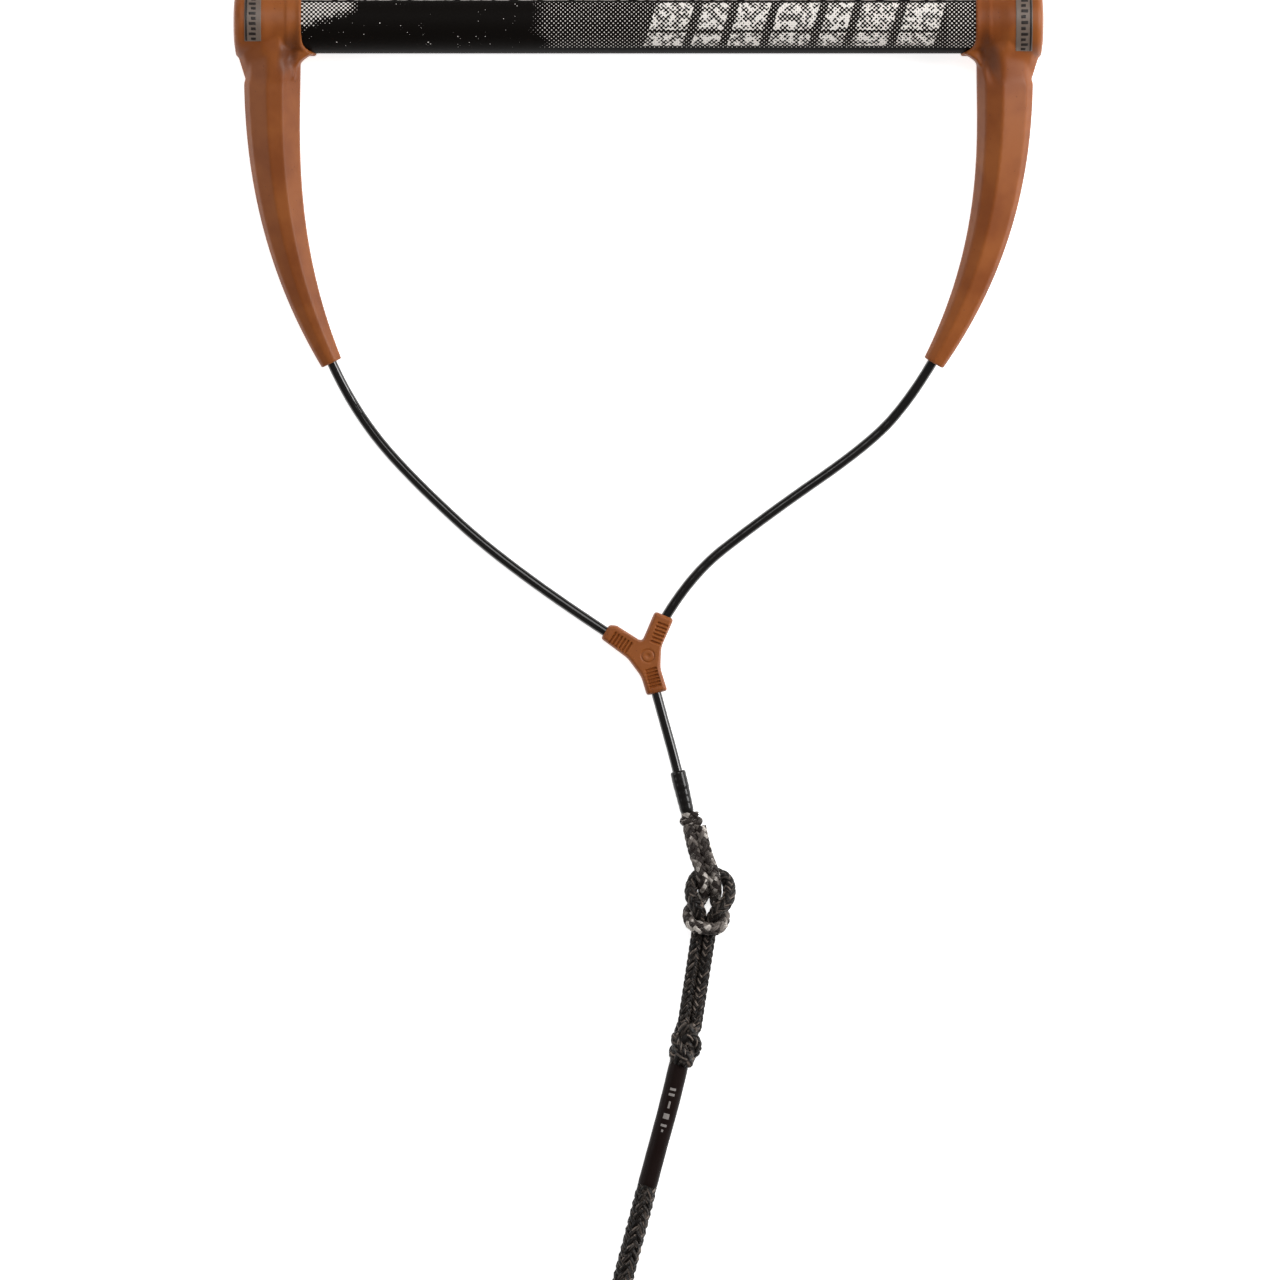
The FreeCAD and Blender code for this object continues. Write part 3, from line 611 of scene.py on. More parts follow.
# The grip's print: slabs from and to a distance along the grip, which all lean the same way, and the plain
# stripe that runs through them.
PRINT_TOP, PRINT_BOTTOM, SEAM = -9.7, 14.6, -11.2
SLABS = ((6, 24), (28, 41), (45, 60), (64, 83), (87, 99), (103, 120), (124, 142))
SLAB_SLANT, STRIPE = 0.28, (4.2, 5.6)


@once
def printed_grip(tones):
    made, graph, shader = new_material("printed_grip", 0.6, specular=0.05)
    place = graph.millimetres()
    apart = graph.node("ShaderNodeSeparateXYZ", {0: place}).outputs
    along = apart["X"]
    turn = graph.math("ARCTAN2", graph.times(apart["Y"], -1.0), apart["Z"])
    across = graph.times(turn, GRIP_RADIUS / MM)
    flat = graph.vector(along, across)
    pitch = bpy.context.scene.tow_handle_sizes.halftone / MM / math.sqrt(2)
    waves = []
    for sign in (1.0, -1.0):
        slope = graph.plus(along, graph.times(across, sign))
        waves.append(graph.math("COSINE", graph.times(slope, 2 * math.pi / pitch / math.sqrt(2))))
    screen = graph.spread(graph.plus(*waves), 0.5, 0.75)

    broad = graph.noise(flat, 0.06, 3.0)
    ragged = graph.noise(flat, 0.3, 3.0)
    edge = graph.plus(graph.times(along, 0.3), graph.times(ragged, 9.0))
    edge = graph.plus(edge, across)
    corner = graph.times(graph.rise(edge, -38.0, -43.0), graph.rise(along, -130.0, -137.0))
    specks = graph.times(graph.rise(ragged, 0.56, 0.72), graph.rise(broad, 0.42, 0.6))
    fade = graph.rise(graph.plus(along, graph.times(broad, 40.0)), -34.0, -20.0)
    density = graph.most(graph.times(corner, 0.5), graph.times(specks, 0.24))
    density = graph.most(density, graph.times(fade, 0.22))
    density = graph.most(density, graph.times(graph.rise(along, 143.0, 146.0), 0.31))
    block = 0.0
    leant = graph.plus(along, graph.times(across, SLAB_SLANT))
    for start, stop in SLABS:
        block = graph.most(block, graph.band(leant, start, stop, 0.15))
    stripe = graph.band(across, *STRIPE, 0.15)
    block = graph.times(block, graph.less(1.0, stripe))
    block = graph.times(block, graph.band(across, PRINT_TOP + 0.4, PRINT_BOTTOM - 1.6, 0.15))
    worn = graph.spread(graph.rise(ragged, 0.36, 0.56), 1.0, 0.42)
    density = graph.most(density, graph.times(block, worn))
    limit = graph.less(1.05, density)
    over = graph.less(screen, limit)
    ink = graph.times(graph.rise(over, -0.035, 0.035), graph.band(across, PRINT_TOP, PRINT_BOTTOM, 0.1))
    ink = graph.times(ink, graph.spread(graph.noise(flat, 1.4, 4.0), 0.72, 1.1))
    seam = graph.times(graph.band(across, SEAM - 0.3, SEAM + 0.3, 0.2),
                      graph.rise(graph.noise(flat, 0.18), 0.42, 0.55))
    ink = graph.most(ink, graph.times(seam, 0.35))
    graph.feed(shader["Base Color"], graph.mix(ink, tones.grip, tones.print))
    wear = graph.use(effect("Wear", wear_group), Place=place, Grain=3.2, Patch=0.05)
    graph.feed(shader["Roughness"], graph.spread(wear["Height"], 0.46, 0.66))
    graph.feed(shader["Normal"], graph.bump(graph.plus(wear["Height"], graph.times(ink, 0.3)),
                                            0.00006, 0.5))
    return made


def coated(name, tone, roughness, coat, grain):
    made, graph, shader = new_material(name, roughness, coat, 0.05, specular=0.15)
    wear = graph.use(effect("Wear", wear_group), Place=graph.millimetres(), Grain=grain, Patch=0.08)
    lighter = tuple(min(1.0, value * 1.7) for value in tone[:3]) + (1.0,)
    graph.feed(shader["Base Color"], graph.mix(wear["Tone"], tuple(tone), lighter))
    graph.feed(shader["Roughness"], graph.spread(wear["Height"], roughness - 0.06, roughness + 0.08))
    graph.feed(shader["Normal"], graph.bump(wear["Height"], 0.00008, 0.35))
    return made


line_coating = once(lambda tones: coated("line_coating", tones.line, 0.2, 0.9, 0.35))
shrunk_coating = once(lambda tones: coated("shrunk_coating", tones.line, 0.3, 0.35, 0.7))


@once
def black_braid(tones):
    made, graph, shader = new_material("black_braid", 0.42, specular=0.2)
    fibre = graph.use(effect("Fibres", fibre_group), **{"Fibres": 2.6, "Fleck length": 2.2})
    # Painted highlight: lighter strokes along one edge of each strand, and on scattered fibres, stand in for
    # the light that the fibres catch.
    rim = graph.times(graph.rise(graph.layer("edge"), 0.15, 0.75), graph.rise(fibre["Fleck"], 0.55, 0.75))
    glint_hairs = graph.times(graph.rise(fibre["Tone"], 0.7, 0.95), 0.22)
    light = graph.most(graph.times(rim, graph.spread(fibre["Tone"], 0.35, 1.0)), glint_hairs)
    core = graph.rise(graph.layer("strand"), -0.6, -0.2)
    graph.feed(shader["Base Color"], graph.mix(graph.times(light, core), tones.braid, tones.braid_glint))
    graph.feed(shader["Roughness"], graph.spread(fibre["Tone"], 0.34, 0.56))
    graph.feed(shader["Normal"], graph.bump(fibre["Height"], 0.00012, 0.7))
    return made


@once
def flecked_braid(tones):
    made, graph, shader = new_material("flecked_braid", 0.5, specular=0.2)
    fibre = graph.use(effect("Fibres", fibre_group), **{"Fibres": 2.6, "Fleck length": 3.4})
    region = graph.noise(graph.millimetres(), 0.12)
    pick = graph.plus(fibre["Fleck"], graph.times(graph.less(region, 0.5), 0.7))
    grey = graph.mix(graph.rise(pick, 0.5, 0.56), tones.fleck_dark, tones.fleck_mid)
    pale = graph.mix(graph.rise(pick, 0.84, 0.9), grey, tones.fleck_pale)
    shade = graph.times(graph.rise(fibre["Tone"], 0.75, 0.25), 0.35)
    hidden = graph.rise(graph.layer("strand"), -0.2, -0.6)
    graph.feed(shader["Base Color"], graph.mix(graph.most(shade, hidden), pale, tones.fleck_dark))
    graph.feed(shader["Roughness"], graph.spread(fibre["Tone"], 0.42, 0.62))
    graph.feed(shader["Normal"], graph.bump(fibre["Height"], 0.00012, 0.7))
    return made


# Marks on the label, in millimetres: where each starts along the sleeve, its length, and its reach across.
LABEL_MARKS = ((13.0, 1.2, 1.5), (15.6, 1.2, 1.5), (19.4, 3.4, 0.55), (25.4, 2.6, 1.5), (30.6, 1.2, 1.5),
               (33.2, 1.2, 0.55))


@once
def label_skin(tones):
    made, graph, shader = new_material("label_skin", 0.42, specular=0.08)
    along, across = graph.layer("along"), graph.math("ABSOLUTE", graph.layer("across"))
    mark = 0.0
    for start, size, reach in LABEL_MARKS:
        one = graph.times(graph.band(along, start, start + size, 0.08), graph.rise(across, reach, reach - 0.15))
        mark = graph.most(mark, one)
    wear = graph.use(effect("Wear", wear_group), Place=graph.millimetres(), Grain=1.2, Patch=0.12)
    worn = graph.times(mark, graph.spread(wear["Height"], 0.55, 1.0))
    graph.feed(shader["Base Color"], graph.mix(worn, tones.label, tones.label_mark))
    graph.feed(shader["Roughness"], graph.spread(wear["Tone"], 0.36, 0.5))
    graph.feed(shader["Normal"], graph.bump(wear["Height"], 0.0001, 0.4))
    return made


def plain_finish(name, dark, light, roughness, metal, grain):
    """A worn finish between two close tones."""
    made, graph, shader = new_material(name, roughness, metal=metal)
    wear = graph.use(effect("Wear", wear_group), Place=graph.millimetres(), Grain=grain, Patch=0.2)
    graph.feed(shader["Base Color"], graph.mix(wear["Tone"], tuple(dark), tuple(light)))
    graph.feed(shader["Roughness"], graph.spread(wear["Height"], roughness - 0.08, roughness + 0.1))
    graph.feed(shader["Normal"], graph.bump(wear["Height"], 0.00004, 0.4))
    return made


def plain(name, dark, light, *values):
    """A plain finish between two colours of 0 to 255, which no user sets."""
    return once(lambda tones: plain_finish(name, card(*dark), card(*light), *values))


badge_ground = once(lambda tones: plain_finish("badge_ground", tones.badge, tones.badge, 0.4, 0.0, 1.5))
badge_bar = once(lambda tones: plain_finish(
    "badge_bar", tones.badge_bar, [value * 0.8 for value in tones.badge_bar[:3]] + [1.0], 0.45, 0.0, 1.5))
steel = plain("stainless", (186, 186, 184), (206, 206, 202), 0.3, 1.0, 2.0)
aluminium = plain("drawn_aluminium", (196, 198, 200), (214, 215, 216), 0.34, 1.0, 1.0)
foam = plain("closed_cell_foam", (220, 217, 208), (236, 233, 224), 0.8, 0.0, 2.0)
black_plug = plain("black_plug", (26, 25, 25), (36, 35, 34), 0.5, 0.0, 1.5)


# ---------------------------------------------------------------- operators

class PieceOperator:
    """What the operators share."""

    bl_options = {"REGISTER", "UNDO"}

    def execute(self, context):
        self.build(context.scene.tow_handle_sizes)
        return {"FINISHED"}


def ride_as(piece, body, slot, *nodes):
    """A piece moves with a body and stands for CAD nodes; its slot is not used."""
    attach(piece, body)
    if nodes:
        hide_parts(*nodes)
    return piece


class TOWHANDLE_OT_inner_parts(PieceOperator, bpy.types.Operator):
    """Gives the parts inside the bar, the collars and the connector their finishes"""

    bl_idname = "towhandle.inner_parts"
    bl_label = "Inner parts"

    def build(self, sizes):
        finishes = {"bar_tube": aluminium, "foam_core": foam, "end_plug": black_plug, "ferrule": steel,
                    "y_splice": steel}
        for name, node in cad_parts.items():
            for start, finish in finishes.items():
                if name.startswith(start):
                    node.data.materials.clear()
                    node.data.materials.append(finish())


class TOWHANDLE_OT_grip(PieceOperator, bpy.types.Operator):
    """The printed grip, with the groove of its seam"""

    bl_idname = "towhandle.grip"
    bl_label = "Grip"

    def build(self, sizes):
        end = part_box("grip_wrap")[1].x
        sides, rings = 144, 160
        angles = np.arange(sides) * 2 * math.pi / sides
        seam = SEAM * MM / GRIP_RADIUS
        turn = np.arctan2(-np.cos(angles), np.sin(angles))
        groove = 0.00025 * np.exp(-((turn - seam) * GRIP_RADIUS / 0.0004) ** 2)
        across = GRIP_RADIUS - groove
        points, stations = [], []
        bore = TUBE_RADIUS + 0.00002
        stations += [(-end, bore - across), (-end, -0.0004), (-end + 0.0004, 0.0)]
        stations += [(x, 0.0) for x in np.linspace(-end + 0.002, end - 0.002, rings)]
        stations += [(end - 0.0004, 0.0), (end, -0.0004), (end, bore - across)]
        for x, inset in stations:
            points.append(turned_ring(x, across + inset, sides))
        faces = ring_faces(len(stations), sides, closed=True)
        grip = new_piece("grip", np.concatenate(points), faces, printed_grip(), sharp=50)
        recalculate(grip)
        ride_as(grip, "handle", "grip", "grip_wrap")


def recalculate(piece, weld=None):
    """Turns every face outwards, after joining points that lie closer than weld."""
    work = bmesh.new()
    work.from_mesh(piece.data)
    if weld is not None:
        bmesh.ops.remove_doubles(work, verts=work.verts, dist=weld)
    bmesh.ops.recalc_face_normals(work, faces=work.faces)
    work.to_mesh(piece.data)
    work.free()


# Corners of the upper half of each horn's section, as shares of its half width and half thickness,
# from the side towards the hand. The lower half mirrors it.
HORN_FACETS = {
    "left": ((-1.0, 0.36), (-0.38, 0.97), (0.17, 1.0), (0.79, 0.66), (1.0, 0.26)),
    "right": ((-1.0, 0.32), (-0.70, 0.80), (-0.08, 1.0), (0.76, 0.64), (1.0, 0.26)),
}
HORN_START, HORN_REACH = 28.3, 160.4
HORN_OUTSET, HORN_BOW, HORN_TAPER = 17.9, 2.36, 1.4
TIP_INSET = {"left": 27.7, "right": 33.3}
ROOT = (26.5, 26.0)
TIP = (10.2, 9.6)
SHOULDER = (31.0, 30.0)
SHOULDER_START = 4.0
SKIRT_END = 25.6
SKIRT_SLOPE = 0.30
TIP_LIFT = 0.6
COLLAR_LENGTH, COLLAR_CROWN, COLLAR_FACE = 32.0, 2.0, 20.0
COLLAR_CREASE = {"left": 14.4, "right": 16.2}
# The scoop behind the lip: its middle, its half widths along and across the bar, in metres.
SCOOP = {"left": (0.1635, -0.0115, 0.0026, 0.0085), "right": (0.1640, -0.0165, 0.0038, 0.0110)}
LIP_REACH, LIP_CURVE = 6.8, 6.0
LEAN = math.asin((COLLAR_RADIUS / MM - TIP[1] / 2 - TIP_LIFT) / HORN_REACH)


def horn_ring(word, distance, skirt=False):
    """The section of a horn at a distance from the bar's axis, before the horn leans down."""
    side = WORDS[word]
    end = HALF_WIDTH / MM
    if distance < HORN_START:
        share = max((distance - SHOULDER_START) / (HORN_START - SHOULDER_START), 0.0)
        wide, thick = (start + (stop - start) * share for start, stop in zip(SHOULDER, ROOT))
        inner = end - SHOULDER[0] - 0.4 + (end - HORN_OUTSET - ROOT[0] / 2 - end + SHOULDER[0] + 0.4) * share
        outer = inner + wide
        if skirt:
            outer = end - 0.1 - SKIRT_SLOPE * max(distance - 9.5, 0.0)
            thick *= 1 - 0.42 * eased(distance, 12.0, SKIRT_END)
        else:
            outer = min(outer, end - HORN_OUTSET + ROOT[0] / 2 - 0.9)
        centre, wide, angle = (inner + outer) / 2, outer - inner, 0.0
    else:
        reach = HORN_REACH - HORN_START
        share = (distance - HORN_START) / reach
        shape = 1 - share ** HORN_TAPER
        wide, thick = (tip + (root - tip) * shape for root, tip in zip(ROOT, TIP))
        centre = end - HORN_OUTSET - TIP_INSET[word] * share ** HORN_BOW
        angle = math.atan(TIP_INSET[word] * HORN_BOW * share ** (HORN_BOW - 1) / reach)
    facets = HORN_FACETS[word]
    around = facets + tuple((across, -up) for across, up in reversed(facets))
    ring = []
    for across, up in around:
        step = across * wide / 2
        ring.append((side * (centre + step * math.cos(angle)), -distance - step * math.sin(angle),
                     up * thick / 2))
    return np.array(ring)


def leant(points):
    """Leans points in millimetres down about the bar's axis, as metres."""
    turn = np.array(Matrix.Rotation(LEAN, 3, "X"))
    return (points @ turn.T) * MM


def lip_ring(word, along, radius, sides=72):
    """A ring round the grip that reaches further towards the hand on the side of the bridle."""
    angles = np.arange(sides) * 2 * math.pi / sides
    down = np.maximum(-np.cos(angles), 0.0) ** LIP_CURVE
    start = HALF_WIDTH / MM - COLLAR_LENGTH
    reach = LIP_REACH * down * max(0.0, 1 - along / 7.0)
    return turned_ring(WORDS[word] * (start + along - reach), radius, sides)


def moulded_shapes(word):
    """The closed shapes that the moulding is the union of: collar, skirt, horn, lip and web."""
    end = HALF_WIDTH / MM
    lip = end - COLLAR_LENGTH
    radius = COLLAR_RADIUS / MM
    crease = end - COLLAR_CREASE[word]
    barrel = [(lip + 1.4, 13.4), (lip + 1.4, radius - 1.5), (lip + 5.0, radius - 1.5),
              (crease - 4.5, radius - 0.95), (crease, radius),
              (end - COLLAR_CROWN - 0.8, radius), (end - COLLAR_CROWN * 0.45, radius - 1.3),
              (end - 0.25, COLLAR_FACE / 2 + 1.2), (end, COLLAR_FACE / 2), (end, 2.0), (end - 24, 2.0),
              (end - 24, 13.4)]
    points, faces = lathe(barrel, WORDS[word])
    shapes = [(points, faces)]
    loops = [[horn_ring(word, d, skirt=True) for d in np.linspace(SHOULDER_START, SKIRT_END, 12)],
             [horn_ring(word, d) for d in np.concatenate([
                 np.linspace(12.0, HORN_START, 8), np.linspace(HORN_START + 2, HORN_REACH, 52)])]]
    for rings in loops:
        shapes.append((np.concatenate(rings), ring_faces(len(rings), len(rings[0]))))
    stations = [(0.0, 13.6), (-0.1, 15.0), (0.25, 15.75), (1.0, 15.85), (2.6, 15.3), (4.6, 15.5), (7.0, 16.0),
                (7.0, 13.6)]
    rings = [lip_ring(word, along, around) for along, around in stations]
    shapes.append((np.concatenate(rings), ring_faces(len(rings), len(rings[0]), closed=True)))
    grip = GRIP_RADIUS / MM
    outline = ((lip + 9, -8), (lip + 1, -9), (lip - 5.6, -grip - 0.2), (lip - 3.0, -grip - 1.5),
               (lip - 0.2, -grip - 3.6), (lip + 1.9, -grip - 7.0), (lip + 2.3, -grip - 12),
               (lip + 9, -grip - 14))
    web = []
    for height, inset in ((-8.6, 1.2), (-6.4, 0.25), (0, 0.0), (6.4, 0.25), (8.6, 1.2)):
        web.append(np.array([(WORDS[word] * (x + inset), y + inset * 0.4, height) for x, y in outline]))
    shapes.append((np.concatenate(web), ring_faces(len(web), len(outline))))
    return shapes


def bore_profile():
    """The stepped bore for the grip, the tube, the screw and the washer, as part of the collar's outline."""
    end, gap = HALF_WIDTH, 0.0001
    washer_radius = (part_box("end_washer_right")[1].z + 2 * gap)
    shank = 0.0027
    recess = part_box("end_washer_right")[0].x
    lip_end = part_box("grip_wrap")[1].x + 2 * gap
    return [(end - 0.05, 0.0004), (end - 0.05, GRIP_RADIUS + gap), (lip_end, GRIP_RADIUS + gap),
            (lip_end, TUBE_RADIUS + gap), (TUBE_END + 2 * gap, TUBE_RADIUS + gap), (TUBE_END + 2 * gap, shank),
            (recess, shank), (recess, washer_radius), (end + 0.005, washer_radius), (end + 0.005, 0.0004)]


def tube_cutter(name, line, radius):
    points = skin(line, radius, 24)
    cutter = new_piece(name, points, ring_faces(len(line), 24), None)
    recalculate(cutter)
    return cutter


class TOWHANDLE_OT_end_fittings(PieceOperator, bpy.types.Operator):
    """The moulded collars with their curved horns, bored for the bar and the lines"""

    bl_idname = "towhandle.end_fittings"
    bl_label = "End fittings"

    def build(self, sizes):
        for word, side in WORDS.items():
            points, faces = [], []
            for shape, its_faces in moulded_shapes(word):
                first = sum(len(rows) for rows in points)
                faces += [tuple(first + corner for corner in face) for face in its_faces]
                points.append(leant(shape))
            fitting = new_piece(f"fitting_{word}", np.concatenate(points), faces, moulding())
            recalculate(fitting)
            merged(fitting, sizes.moulding_grain)
            mesh = fitting.data
            co, edges = mesh_points(mesh), mesh_edges(mesh)
            co = relax(co, edges, 0.5, 3)
            x, y, wide, long = SCOOP[word]
            bent = np.abs(co[:, 0]) - x - 0.0035 * np.clip((y - co[:, 1]) / 0.012, -0.6, 1)
            scoop = np.exp(-(bent / wide) ** 2 - ((co[:, 1] - y) / long) ** 4)
            deep = 0.0008 + 0.0022 * np.clip((-co[:, 1] - 0.0125) / 0.005, 0, 1)
            co[:, 2] -= np.sign(co[:, 2]) * scoop * deep
            co = relax(co, edges, 0.5 * scoop, 6)
            shoulder = np.exp(-(((co[:, 1] + 0.0195) / 0.0075) ** 4)
                              - ((np.abs(co[:, 0]) - 0.174) / 0.0105) ** 4)
            co = relax(co, edges, 0.6 * shoulder, 24)
            mesh.vertices.foreach_set("co", co.ravel())
            profile, bore_faces = lathe(bore_profile(), side, 96)
            bore = new_piece("bore", profile, bore_faces, None)
            recalculate(bore)
            line = read_line(BRIDLE[word], 0.002)
            channel = tube_cutter("channel", line[:int(0.215 / 0.002)], sizes.line / 2 + 0.00035)
            ferrule = np.array(line[:8])
            pocket = tube_cutter("pocket", ferrule[:7], 0.0041)
            cut(fitting, [bore, channel, pocket])
            smooth(fitting.data, 38)
            if not fitting.data.materials:
                fitting.data.materials.append(moulding())
            ride_as(fitting, "handle", "moulding", f"end_fitting_{word}")


BADGE_NEAR, BADGE_WIDTH = 5.4, 7.8
BADGE_LOW = {"left": -0.0094, "right": -0.0138}
BADGE_HIGH = {"left": 0.0140, "right": 0.0124}


class TOWHANDLE_OT_badges(PieceOperator, bpy.types.Operator):
    """A thin plate on each collar, with a row of plain raised bars"""

    bl_idname = "towhandle.badges"
    bl_label = "Badges"

    def build(self, sizes):
        for word, side in WORDS.items():
            body = bpy.data.objects[f"fitting_{word}"]
            tree = BVHTree.FromObject(body, bpy.context.evaluated_depsgraph_get())
            low = math.asin(BADGE_LOW[word] / COLLAR_RADIUS)
            high = math.asin(BADGE_HIGH[word] / COLLAR_RADIUS)
            near = HALF_WIDTH - BADGE_NEAR * MM
            plate = self.slab(f"badge_{word}_plate", tree, side, (near - BADGE_WIDTH * MM, near), (low, high),
                              sizes.badge * 0.75, 28, 60, badge_ground())
            ride_as(plate, "handle", "badge", f"badge_{word}")
            stripe = (near - 1.3 * MM, near - 0.3 * MM)
            bars = [self.slab(f"badge_{word}_stripe", tree, side, stripe, (low + 0.02, high - 0.02),
                              sizes.badge * 1.15, 6, 40, badge_bar())]
            count, gap = 11, 0.3
            pitch = (high - low) / count
            for number in range(count):
                start = low + pitch * (number + gap)
                stop = low + pitch * (number + 1 - gap * 0.4)
                inset = (2.0 if number % 2 else 3.1) * MM
                bars.append(self.slab(f"badge_{word}_bar_{number + 1}", tree, side,
                                      (near - BADGE_WIDTH * MM + 2.4 * MM, near - inset), (start, stop),
                                      sizes.badge * 1.15, 10, 8, badge_bar()))
            with_all(bars, f"badge_{word}_bars", "handle", "badge")

    def slab(self, name, tree, side, along, turn, height, columns, rows, finish):
        """A closed plate that follows the moulding under it, rounded at its rim."""
        xs = np.linspace(*along, columns)
        angles = np.linspace(*turn, rows)
        top, under = [], []
        for row, angle in enumerate(angles):
            out = Vector((0, math.sin(angle), math.cos(angle)))
            for column, x in enumerate(xs):
                start = Vector((side * x, COLLAR_RADIUS * out.y, 0.05))
                hit = tree.ray_cast(start, Vector((0, 0, -1)))[0]
                if hit is None:
                    raise RuntimeError(f"{name} has nothing under it")
                rim = row in (0, rows - 1) or column in (0, columns - 1)
                top.append(hit + out * (height * (0.6 if rim else 1.0)))
                under.append(hit - out * 0.0004)
        count = len(top)
        faces = []
        for row in range(rows - 1):
            for column in range(columns - 1):
                a = row * columns + column
                faces.append((a, a + 1, a + columns + 1, a + columns))
                faces.append((count + a, count + a + columns, count + a + columns + 1, count + a + 1))
        rim = [(0, column) for column in range(columns)]
        rim += [(row, columns - 1) for row in range(1, rows)]
        rim += [(rows - 1, column) for column in reversed(range(columns - 1))]
        rim += [(row, 0) for row in reversed(range(1, rows - 1))]
        ids = [row * columns + column for row, column in rim]
        for a, b in zip(ids, ids[1:] + ids[:1]):
            faces.append((a, count + a, count + b, b))
        piece = new_piece(name, top + under, faces, finish, sharp=40)
        recalculate(piece)
        return piece


def with_all(pieces, name, body, slot):
    """Joins like pieces into one, which rides on a body."""
    joined = bmesh.new()
    for piece in pieces:
        joined.from_mesh(piece.data)
    finish = pieces[0].data.materials[0]
    for piece in pieces:
        bpy.data.objects.remove(piece)
    mesh = bpy.data.meshes.new(name)
    joined.to_mesh(mesh)
    joined.free()
    smooth(mesh, 40)
    mesh.materials.append(finish)
    made = bpy.data.objects.new(name, mesh)
    bpy.context.scene.collection.objects.link(made)
    return ride_as(made, body, slot)


class TOWHANDLE_OT_end_hardware(PieceOperator, bpy.types.Operator):
    """The screws with hexagonal sockets, and the washers under them"""

    bl_idname = "towhandle.end_hardware"
    bl_label = "Screws and washers"

    def build(self, sizes):
        sides = 72
        for word, side in WORDS.items():
            low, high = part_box(f"end_screw_{word}")
            top, tail = SCREW_TOP, min(abs(low.x), abs(high.x))
            head, shank = high.z, 0.0025
            angles = np.arange(sides) * 2 * math.pi / sides
            hexagon = 0.0015 / np.cos((angles % (math.pi / 3)) - math.pi / 6)
            rings = [(tail, 0.0), (tail, shank - 0.0006), (tail + 0.0006, shank), (WASHER_TOP, shank),
                     (WASHER_TOP, head), (top - 0.0006, head), (top - 0.0002, head - 0.00018),
                     (top, head - 0.0006), (top, hexagon + 0.0003), (top - 0.0003, hexagon),
                     (top - 0.0015, hexagon), (top - 0.0015, 0.0)]
            points = [turned_ring(side * x, radius, sides) for x, radius in rings]
            screw = new_piece(f"screw_{word}", np.concatenate(points), ring_faces(len(rings), sides), steel(),
                              sharp=35)
            recalculate(screw, weld=1e-6)
            ride_as(screw, "handle", "steel", f"end_screw_{word}")
            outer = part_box(f"end_washer_{word}")[1].z
            near = WASHER_TOP - 0.001
            profile = [(near, 0.0026), (near, outer - 0.00015), (near + 0.00015, outer),
                       (WASHER_TOP - 0.00015, outer), (WASHER_TOP, outer - 0.00015), (WASHER_TOP, 0.0026)]
            points, faces = lathe(profile, side, sides)
            washer = new_piece(f"washer_{word}", points, faces, steel(), sharp=35)
            recalculate(washer)
            ride_as(washer, "handle", "steel", f"end_washer_{word}")


# ---------------------------------------------------------------- the Y connector

YOKE_CENTRE = Vector((3.8, -298.1)) * MM
# Corners of the connector from its middle, in millimetres, each with the radius of its corner.
YOKE_OUTLINE = (
    (-21.6, 8.0, 1.3), (-17.7, 14.6, 2.2), (-14.0, 14.2, 2.0), (-2.2, 6.6, 2.0), (3.9, 21.0, 1.8),
    (12.9, 17.2, 1.6), (7.0, 4.0, 12.0), (6.6, -6.0, 12.0), (9.9, -16.6, 1.2), (0.1, -19.0, 1.6),
    (-2.6, -10.0, 12.0), (-9.0, -1.4, 12.0))
# Where each arm's grooves start, where they end, and half the length of a groove.
YOKE_GROOVES = (((-16.0, 8.6), (-8.6, 3.7), 3.0), ((7.6, 14.6), (4.4, 6.0), 2.8),
                ((2.0, -6.6), (4.2, -14.4), 3.0))
# How far the connector's outline is drawn in at each share of its half thickness, in millimetres.
YOKE_LAYERS = ((-1.0, 1.5), (-0.86, 0.75), (-0.55, 0.2), (0.0, 0.0), (0.55, 0.2), (0.86, 0.75), (1.0, 1.5))
GROOVES_PER_ARM = 6
GROOVE_HALF_WIDTH, GROOVE_DEPTH = 0.42, 0.95
RING_RADIUS, RING_HALF_WIDTH = 3.0, 0.3


def rounded_outline(corners, steps=8):
    """An outline whose corners are arcs."""
    outline = []
    for k, (x, y, radius) in enumerate(corners):
        here = Vector((x, y))
        back = (Vector(corners[k - 1][:2]) - here)
        on = (Vector(corners[(k + 1) % len(corners)][:2]) - here)
        half = (math.pi - back.angle(on)) / 2
        reach = min(radius * math.tan(half), 0.48 * back.length, 0.48 * on.length)
        start, stop = here + back.normalized() * reach, here + on.normalized() * reach
        for step in range(steps + 1):
            share = step / steps
            outline.append(start * (1 - share) ** 2 + here * 2 * share * (1 - share) + stop * share ** 2)
    return outline


def groove_depth(points):
    """How deep each point of the connector's faces lies in a groove or in the ring mark, in millimetres."""
    depth = np.zeros(len(points))
    for start, stop, half in YOKE_GROOVES:
        start, stop = np.array(start), np.array(stop)
        heading = (stop - start) / np.linalg.norm(stop - start)
        across = np.array([-heading[1], heading[0]])
        for share in np.linspace(0, 1, GROOVES_PER_ARM):
            from_groove = points - (start + (stop - start) * share)
            over = np.abs(from_groove @ heading) / GROOVE_HALF_WIDTH
            end = np.clip((half - np.abs(from_groove @ across)) / 0.35, 0, 1)
            depth = np.maximum(depth, GROOVE_DEPTH * np.clip(1.6 - over * 1.2, 0, 1) * end)
    away = np.linalg.norm(points - np.array([0.6, -0.2]), axis=1)
    ring = np.clip(1.5 - np.abs(away - RING_RADIUS) / RING_HALF_WIDTH, 0, 1)
    dot = np.clip(1.5 - away / 0.9, 0, 1)
    return np.maximum(depth, 0.4 * np.maximum(ring, dot))


